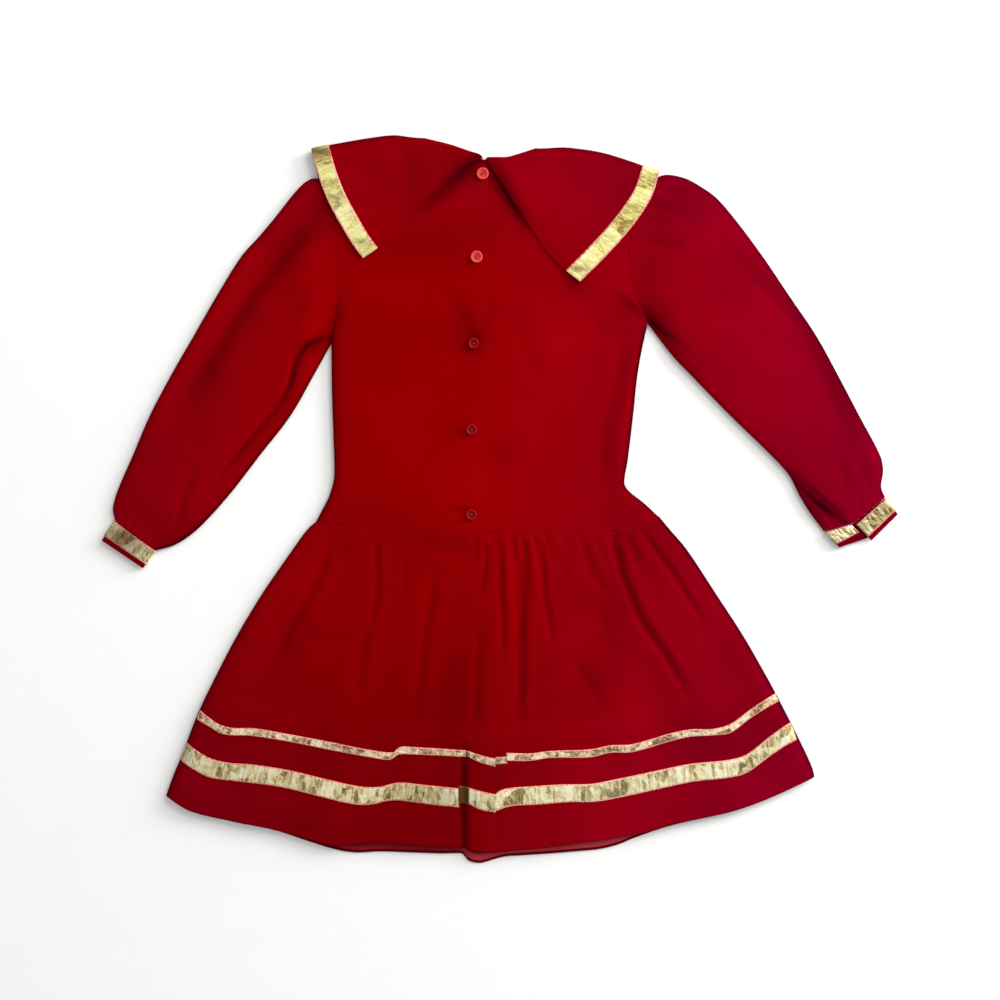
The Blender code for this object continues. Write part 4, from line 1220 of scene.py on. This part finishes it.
vent = (354.5, -22.6)
left_low = edge([SLEEVE_LEFT_OUTER[-1], SLEEVE_LEFT_INNER[-1]])
right_low = edge([SLEEVE_RIGHT_OUTER[-1], vent], [vent, SLEEVE_RIGHT_INNER[-1]])
left_plan = sleeve_plan(ARMHOLE_LEFT, SLEEVE_LEFT_OUTER, SLEEVE_LEFT_INNER, -1, left_low)
right_plan = sleeve_plan(ARMHOLE_RIGHT, SLEEVE_RIGHT_OUTER, SLEEVE_RIGHT_INNER, 1, right_low)
for side, plan, rims in (("left", left_plan, ((0.6, 2.3), (1.0, 3.0))),
                         ("right", right_plan, ((0.9, 2.8), (0.1, 2.3)))):
    sleeve = add_piece(sleeve_mesh(f"sleeve_{side}_cloth", plan, rims), red_velvet,
                       [f"sleeve_{side}"])


# Cuffs
#
# A narrow velvet band at each wrist with gold ribbon round it, so that a red edge shows below.
# The left one lies closed; the right one lies open at its vent, with its two ends apart.

CUFF_LEFT = ((-386.6, -20.1), (-344.4, -50.9), (-357, -68.8), (-399.5, -40))
CUFF_RIGHT = {
    "upper_right": ((356, -24.4), (386.4, 2.2), (399.1, -13.7), (371.8, -40.5)),
    "upper_left": ((325, -32.2), (350.8, -24.3), (361.5, -34.6), (339.3, -47.6)),
    "vent": ((354.8, -23.6), (367, -38.5)),
}
CUFF_HOLLOW = 0.5
TURN_STEP = 0.6            # of ribbon in each step round a cuff's end
CUFF_TURN_STEPS = 10
CUFF_ROWS = 8
CUFF_RIBBON_ROWS = 11
CUFF_RIBBON_START = 0.02   # of the cuff's depth, from the seam down
CUFF_RIBBON_END = 0.78
CUFF_FILM = 0.5
CUFF_PUCKER = 0.12
# Painted shade of the cuff's velvet edge
CUFF_SHADE = -0.35         # of the velvet edge that turns under, below the ribbon


def cuff_turn(corners, end):
    """Stations round one end of a cuff, from its upper layer to its lower one or back."""
    first = 0 if end == "left" else 1
    seam, hem = np.array(corners[first], float), np.array(corners[3 - first], float)
    along = np.subtract(corners[1], corners[0])
    along = along / np.linalg.norm(along)
    outward = -along if end == "left" else along
    angles = np.radians(90 - 180 * np.arange(CUFF_TURN_STEPS + 1) / CUFF_TURN_STEPS)
    turn = [(seam, hem, outward, angle) for angle in angles]
    return turn[::-1] if end == "left" else turn


def cuff_end(corners, end):
    """Station at the free end of an open cuff's upper layer."""
    first = 0 if end == "left" else 1
    return (np.array(corners[first], float), np.array(corners[3 - first], float),
            np.zeros(2), math.radians(90))


def between_stations(stations_list, count, closed):
    """More stations along the flat stretches, so that the band can ripple."""
    made = []
    pairs = list(zip(stations_list, stations_list[1:] + stations_list[:1]))
    for (seam, hem, outward, angle), after in pairs if closed else pairs[:-1]:
        made.append((seam, hem, outward, angle))
        if np.linalg.norm(after[0] - seam) > 4:
            for share in np.arange(1, count) / count:
                made.append((seam + (after[0] - seam) * share, hem + (after[1] - hem) * share,
                             outward + (after[2] - outward) * share,
                             angle + (after[3] - angle) * share))
    return made if closed else made + [stations_list[-1]]


def cuff_mesh(name, ring, inner, thickness, start, end, closed, rows, pucker):
    """Band that follows the stations; inner is its distance from the cuff's own middle."""
    middle = RIBBON + GAP + CLOTH + CUFF_HOLLOW / 2
    shrink = 2 * CLOTH + RIBBON + GAP + CUFF_HOLLOW
    shares = start + (end - start) * strip_rows(rows)
    seams = np.array([seam for seam, hem, outward, angle in ring])
    steps = np.linalg.norm(np.diff(seams, axis=0), axis=1) + TURN_STEP
    along = np.concatenate([[0.0], np.cumsum(steps)])
    faces = []
    for face in (0, 1):
        points = np.zeros((rows, len(ring), 3))
        for column, (seam, hem, outward, angle) in enumerate(ring):
            ripple = pucker * math.sin(0.9 * along[column]) * math.sin(angle)
            for row, share in enumerate(shares):
                edge_share = 1 - 0.5 * (row in (0, rows - 1))
                reach = inner + thickness / 2 + (face - 0.5) * thickness * edge_share + ripple
                place = seam + (hem - seam) * share
                place = place + outward * (reach * math.cos(angle) - shrink / 2)
                points[row, column] = (*place, middle + reach * math.sin(angle))
        faces.append(points)
    # Painted shade on the velvet; on the ribbon, the patches of painted shade and light
    shade = np.full(faces[1].shape[:2], CUFF_SHADE)
    if pucker:
        shade = patch_shade(GOLD_PATCHES, faces[1][..., :2])
    return wall_mesh(name, faces[0], faces[1], shade, along, closed)


cuff_gold = gold("cuff gold ribbon", PALE_GOLD, 0.016, 0.09, 5.3)
left_ring = between_stations(cuff_turn(CUFF_LEFT, "right") + cuff_turn(CUFF_LEFT, "left"), 26, True)
vent_seam, vent_hem = (np.array(point, float) for point in CUFF_RIGHT["vent"])
right_ring = between_stations(
    [cuff_end(CUFF_RIGHT["upper_right"], "left")] + cuff_turn(CUFF_RIGHT["upper_right"], "right")
    + [(vent_seam, vent_hem, np.zeros(2), math.radians(-90))]
    + cuff_turn(CUFF_RIGHT["upper_left"], "left") + [cuff_end(CUFF_RIGHT["upper_left"], "right")],
    22, False)
for side, ring, closed in (("left", left_ring, True), ("right", right_ring, False)):
    inner = CUFF_HOLLOW / 2
    cuff = add_piece(cuff_mesh(
        f"cuff_{side}_cloth", ring, inner, CLOTH, 0.0, 1.0, closed, CUFF_ROWS, 0.0), red_velvet,
        [f"cuff_{side}"])
    band = add_piece(cuff_mesh(
        f"cuff_{side}_ribbon", ring, inner + CLOTH + RIBBON_CLEAR, CUFF_FILM, CUFF_RIBBON_START,
        CUFF_RIBBON_END, closed, CUFF_RIBBON_ROWS, CUFF_PUCKER), cuff_gold,
        [f"cuff_ribbon_{side}"])


# Collar
#
# A wide collar in two halves, which meet at the top button and fold over the shoulders. Each
# half is velvet with gold ribbon along its outer edge, turned in at the corner.

COLLARS = {
    "left": {
        "neck_back": [(-17, 340.6), (-19.5, 344.2), (-30, 348), (-50, 355), (-75, 361.5)],
        "centre_back": [(-17, 340.6), (-36, 333), (-53, 317), (-68, 298), (-123, 251),
                        (-137, 241.4)],
        "edge_back": [(-137, 241.4), (-145.7, 252.8), (-156.4, 270.2), (-171, 297),
                      (-181, 322.4), (-188, 348)],
        "shoulder": [(-75, 361.5), (-90, 361.6), (-110, 361.3), (-130, 358.8), (-172, 351.5),
                     (-188, 348)],
        "neck_front": [(-75, 361.5), (-62, 325), (-22, 300)],
        "edge_front": [(-188, 348), (-176, 300), (-155, 262), (-126, 228)],
        "centre_front": [(-22, 300), (-70, 262), (-126, 228)],
    },
    "right": {
        "neck_back": [(-14.6, 340), (-12.5, 342), (-6, 342.4), (8, 343), (22, 347), (35, 351.2)],
        "centre_back": [(-14.6, 340), (-1, 320), (18, 290), (36, 263.5), (50, 244),
                        (66.7, 228.5), (80, 218)],
        "edge_back": [(80, 218), (100.7, 238.3), (121.7, 260.7), (139.5, 283.2),
                      (152, 304.2), (158.5, 325)],
        "shoulder": [(35, 351.2), (55, 350.6), (70, 349), (100, 344.5), (130, 335.5),
                     (158.5, 325)],
        "neck_front": [(35, 351.2), (25, 320), (-12, 300)],
        "edge_front": [(158.5, 325), (146, 280), (122, 248), (84, 223)],
        "centre_front": [(-12, 300), (35, 255), (84, 223)],
    },
}
COLLAR_HOLLOW = 4.4
COLLAR_DEPTH = 120.0       # from the centre line of a back lobe to its fold
COLLAR_SOFT = 40.0         # a smaller depth, which makes its soft centre edge wider
# The collar's dark rim is painted shade
COLLAR_RIM = (1.1, 1.6)    # strength and reach of its dark rim
COLLAR_STAND = 1.6         # rise of the centre edge near the neck
COLLAR_SAG = 0.5           # and its dip further down
COLLAR_RIBBON_WIDTH = 18.0
COLLAR_RIBBON_CLEAR = 0.2
COLLAR_FILM = 0.6
COLLAR_RIBBON_LENGTH = 240.0
BACK_SHARE = 0.5           # of the columns, on the back lobe
TURN_SHARE = 0.14          # and round the fold at the shoulder
COLLAR_FOLDS = [
    (0.7, 8, 8, 0.2, [(-97, 352), (-90, 306)]),
    (0.5, 8, 8, 0.2, [(-130, 345), (-122, 300)]),
    (0.5, 10, 10, 0.2, [(60, 340), (78, 300)]),
]
# Broad patches of painted light and painted shade: shade, middle, and half width and half height
COLLAR_PATCHES = [
    (-0.06, (-110, 320), (80, 60)),
    (-0.04, (-86, 330), (16, 30)),
    (-0.18, (-42, 338), (24, 16)),
    (0.08, (58, 300), (36, 36)),
    (-0.20, (126, 312), (26, 34)),
    (-0.10, (4, 334), (16, 10)),
]


def collar_points(outline, side, inner, thickness, start, u, v):
    """Both faces of a collar half, or of its ribbon, which starts near its outer edge, and its
    painted shade.
    """
    back = panel_plan(edge(outline["neck_back"]), edge(outline["edge_back"]),
                      edge(outline["centre_back"]), edge(outline["shoulder"]))
    front = panel_plan(edge(outline["neck_front"]), edge(outline["edge_front"]),
                       edge(outline["shoulder"]), edge(outline["centre_front"]))
    radius = COLLAR_HOLLOW / 2
    middle = RIBBON + GAP + COLLAR_CLOTH + radius
    u, v = np.meshgrid(u, v)
    on_back, on_front = u <= BACK_SHARE, u >= BACK_SHARE + TURN_SHARE
    back_u = np.clip(u / BACK_SHARE, 0, 1)
    front_u = np.clip((u - BACK_SHARE - TURN_SHARE) / (1 - BACK_SHARE - TURN_SHARE), 0, 1)
    back_v, front_v = start(back, back_u, v), start(front, front_u, v)
    back_place, front_place = back(back_u, back_v), front(front_u, front_v)
    angle = np.pi * np.clip((u - BACK_SHARE) / TURN_SHARE, 0, 1)
    ones = np.ones_like(u)
    along = back(ones, np.minimum(back_v + 0.01, 1)) - back(ones, np.maximum(back_v - 0.01, 0))
    outward = np.stack([-along[..., 1], along[..., 0]], axis=-1)
    outward *= (np.sign(outward[..., 1]) / np.linalg.norm(outward, axis=-1)
                * ramp(0.0, 0.3, back_v))[..., None]
    height, shade = fold_relief(COLLAR_FOLDS, back_place)
    lift = height * ramp(0, 20, back_u * COLLAR_DEPTH) * ramp(1.0, 0.8, back_u)
    lift = lift + COLLAR_STAND * ramp(0.5, 0.0, back_u) * ramp(0.6, 0.2, back_v)
    lift = lift - COLLAR_SAG * ramp(0.12, 0.0, back_u) * ramp(0.3, 0.6, back_v)
    if side == "left":
        over_placket = ramp(-100, -66, back_place[..., 0]) * ramp(0.95, 0.45, back_u)
        lift = lift + PANEL_PILE * over_placket
    shade = shade + patch_shade(COLLAR_PATCHES, back_place) + line_shade(COLLAR_SHADOWS, back_place)
    over = radius * ramp(0.0, 0.3, back_v)
    shade = shade + rim_shade((1 - back_u) * COLLAR_DEPTH + over, *COLLAR_RIM)
    # Painted shade round the fold at the shoulder, full past its top
    turn_shade = np.where(angle < np.pi / 2, rim_shade(over * (1 - np.sin(angle)), *COLLAR_RIM),
                          -1)
    share = np.minimum(soft_edge(back_u, v, COLLAR_SOFT, COLLAR_DEPTH, ("left", "top", "low")),
                       soft_edge(front_u, v, COLLAR_DEPTH, COLLAR_DEPTH, ("right",)))
    faces = []
    for face in (0, 1):
        reach = radius + inner + thickness / 2 + (face - 0.5) * thickness * share
        place = np.where(on_back[..., None], back_place, front_place)
        turning = back(ones, back_v) + outward * (reach * np.sin(angle))[..., None]
        place = np.where((on_back | on_front)[..., None], place, turning)
        level = np.where(on_back, middle + reach + lift,
                         np.where(on_front, middle - reach, middle + reach * np.cos(angle)))
        faces.append(raised(place, level))
    return faces, np.where(on_back, shade, turn_shade)


def whole(plan, u, v):
    """Rows of the velvet: all of the plan."""
    return v


def outer_edge(plan, u, v):
    """Rows of the ribbon: its own width, up to the outer edge of the plan."""
    return 1.0 - COLLAR_RIBBON_WIDTH / length_at(plan, u) * (1.0 - v)


# Tones of the crinkled film from dark to pale: painted shade and painted glints of its facets
LEMON_GOLD = [(0.0, paint(158, 136, 68)), (0.22, paint(196, 176, 102)),
              (0.42, paint(222, 210, 130)), (0.60, paint(236, 227, 146)),
              (0.80, paint(247, 240, 160)), (1.0, paint(255, 251, 196))]
collar_gold = gold("collar gold ribbon", LEMON_GOLD, 0.018, 0.085, 1.9)
for side, outline in COLLARS.items():
    columns = stations(150, 260)
    (inner, outer), shade = collar_points(outline, side, 0.0, COLLAR_CLOTH, whole, columns,
                                          stations(90, 130))
    collar = add_piece(wall_mesh(f"collar_{side}_cloth", inner, outer, shade), red_velvet,
                       [f"collar_{side}"])
    (inner, outer), _ = collar_points(outline, side, COLLAR_CLOTH + COLLAR_RIBBON_CLEAR,
                                      COLLAR_FILM, outer_edge, columns, strip_rows(RIBBON_ROWS))
    ribbon = add_piece(wall_mesh(
        f"collar_{side}_ribbon", inner, outer, patch_shade(GOLD_PATCHES, outer[..., :2]),
        np.linspace(0, COLLAR_RIBBON_LENGTH, inner.shape[1])), collar_gold,
        [f"collar_ribbon_{side}"])


# Buttons
#
# Five two-hole buttons down the placket, sewn on with dark red thread: two of coral plastic at
# the neck, and three dark red ones below. Each is a dish with a rounded rim.

# Middle, diameter, colour, and turn of the two holes in degrees
BUTTONS = [
    (-17.4, 325.7, 12.0, "coral", 40),
    (-23.4, 242.6, 12.0, "coral", 80),
    (-26.4, 156.2, 10.8, "dark", 10),
    (-28.6, 70.1, 10.8, "dark", 5),
    (-28.6, -14.6, 10.8, "dark", 0),
]
BUTTON_HEIGHT = 2.2
BUTTON_STEPS = 48
BUTTON_CLEAR = 0.25
HOLE_OFFSET = 1.45
HOLE_RADIUS = 0.75
HOLE_DEPTH = 0.2
HOLE_RISE = 1.08           # above the underside of the button
THREAD_RISE = 0.95
THREAD_LENGTH = 2 * HOLE_OFFSET + 0.8
THREAD_RADIUS = 0.28
THREAD_STEPS = 8
THREAD_ARCH = 0.55
STRANDS = (-0.35, 0.0, 0.35)


def plastic(name, body, rim):
    """Moulded button plastic, with a painted highlight where the rim catches the light."""
    material, wire = new_material(name)
    place = wire.node("TexCoord", output="Object")
    cloud = wire.node("TexNoise", {"Vector": place, "Scale": 220.0, "Detail": 3.0})
    colour = (vertex_shade(wire) + (cloud - 0.5) * 0.9).clamped().mix(body, rim)
    normal = wire.node("Bump", {"Height": cloud, "Strength": 0.1, "Distance": 0.0003})
    shader = wire.node("BsdfPrincipled", {"Base Color": colour, "Roughness": 0.45,
                                          "Specular IOR Level": 0.04, "Normal": normal})
    wire.node("OutputMaterial", {"Surface": shader})
    return material


def button_mesh(name, diameter):
    """Turned button: a dish with a rounded rim; its two holes are a mesh of their own."""
    radius = diameter / 2
    # Reach, height and painted highlight of each ring, from the middle of the dish to that of the
    # underside
    profile = [(0.0, 1.15, 0), (radius - 2.6, 1.15, 0), (radius - 2.1, 1.3, 0.1),
               (radius - 1.5, 2.0, 0.6), (radius - 1.0, BUTTON_HEIGHT, 1.0),
               (radius - 0.5, 2.1, 0.9), (radius - 0.1, 1.7, 0.5), (radius, 1.2, 0.2),
               (radius - 0.4, 0.5, 0.0), (radius - 1.0, 0.0, 0.0), (0.0, 0.0, 0.0)]
    around = np.linspace(0, 2 * np.pi, BUTTON_STEPS, endpoint=False)
    points, shade, faces = [(0, 0, profile[0][1])], [0.0], []
    for reach, up, light in profile[1:-1]:
        points += [(reach * math.cos(a), reach * math.sin(a), up) for a in around]
        shade += [light] * BUTTON_STEPS
    points.append((0, 0, 0))
    shade.append(0.0)
    rings = len(profile) - 2
    for i in range(BUTTON_STEPS):
        after = (i + 1) % BUTTON_STEPS
        faces.append((0, 1 + i, 1 + after))
        for ring in range(rings - 1):
            start = 1 + ring * BUTTON_STEPS
            faces.append((start + i, start + BUTTON_STEPS + i, start + BUTTON_STEPS + after,
                          start + after))
        last = 1 + (rings - 1) * BUTTON_STEPS
        faces.append((last + i, len(points) - 1, last + after))
    mesh = bpy.data.meshes.new(name)
    mesh.from_pydata([Vector(point) * MM for point in points], [], faces)
    mesh.shade_smooth()
    mesh.attributes.new("shade", "FLOAT", "POINT").data.foreach_set("value", shade)
    return mesh


def thread_mesh(name):
    """A few strands of thread from hole to hole, arched a little."""
    shape = bmesh.new()
    around = np.linspace(0, 2 * np.pi, THREAD_STEPS, endpoint=False)
    for strand in STRANDS:
        rings = []
        for step in np.linspace(-1, 1, 9):
            x = step * THREAD_LENGTH / 2
            z = THREAD_ARCH * (1 - step**4) + 0.1 * (strand == 0)
            rings.append([shape.verts.new(Vector((x, strand + THREAD_RADIUS * math.cos(a),
                                                  z + THREAD_RADIUS * math.sin(a))) * MM)
                          for a in around])
        for first, second in zip(rings, rings[1:]):
            for i in range(THREAD_STEPS):
                after = (i + 1) % THREAD_STEPS
                shape.faces.new((first[i], first[after], second[after], second[i]))
        shape.faces.new(rings[0][::-1])
        shape.faces.new(rings[-1])
    bmesh.ops.recalc_face_normals(shape, faces=shape.faces)
    mesh = bpy.data.meshes.new(name)
    shape.to_mesh(mesh)
    shape.free()
    mesh.shade_smooth()
    return mesh


def hole_mesh(name):
    """Two shallow wells in the dish, dark with painted shade."""
    shape = bmesh.new()
    for side in (-1, 1):
        made = bmesh.ops.create_cone(shape, cap_ends=True, segments=20,
                                     radius1=HOLE_RADIUS * MM, radius2=HOLE_RADIUS * MM,
                                     depth=HOLE_DEPTH * MM)
        bmesh.ops.translate(shape, verts=made["verts"], vec=Vector((side * HOLE_OFFSET, 0, 0)) * MM)
    mesh = bpy.data.meshes.new(name)
    shape.to_mesh(mesh)
    shape.free()
    return mesh


def thread(name, deep, light):
    """Twisted sewing thread, with painted shade in the grooves of its twist."""
    material, wire = new_material(name)
    place = wire.node("TexCoord", output="Object")
    twist = wire.node("TexWave", {"Vector": place, "Scale": 900.0, "Distortion": 1.0})
    normal = wire.node("Bump", {"Height": twist, "Strength": 0.4, "Distance": 0.0002})
    shader = wire.node("BsdfPrincipled", {"Base Color": twist.mix(deep, light),
                                          "Roughness": 0.8, "Normal": normal})
    wire.node("OutputMaterial", {"Surface": shader})
    return material


# Body colour, and the colour of the rim's painted highlight
finishes = {
    "coral": plastic("coral button", paint(204, 58, 50), paint(224, 80, 72)),
    "dark": plastic("dark button", paint(124, 2, 5), paint(148, 18, 24)),
}
red_thread = thread("red thread", paint(84, 2, 6), paint(140, 12, 16))
# Painted shade in the button holes, in the thread's look
hole_shadow = thread("button hole", paint(64, 0, 2), paint(80, 2, 6))
bodice_tree = surface_tree(back_left, back_right)
for number, (x, y, diameter, colour, turned) in enumerate(BUTTONS, start=1):
    around = [top_of(bodice_tree, x + diameter / 2 * math.cos(a), y + diameter / 2 * math.sin(a))
              for a in np.linspace(0, 2 * np.pi, 12, endpoint=False)]
    level = np.mean(around) + BUTTON_CLEAR
    body = add_piece(button_mesh(f"button_{number}_body", diameter), finishes[colour],
                     [f"button_{number}"])
    holes = add_piece(hole_mesh(f"button_{number}_holes"), hole_shadow)
    sewing = add_piece(thread_mesh(f"button_{number}_thread"), red_thread)
    body.location = Vector((x, y, level)) * MM
    for part, up in ((holes, HOLE_RISE), (sewing, THREAD_RISE)):
        part.location = Vector((x, y, level + up)) * MM
        part.rotation_euler.z = math.radians(turned)
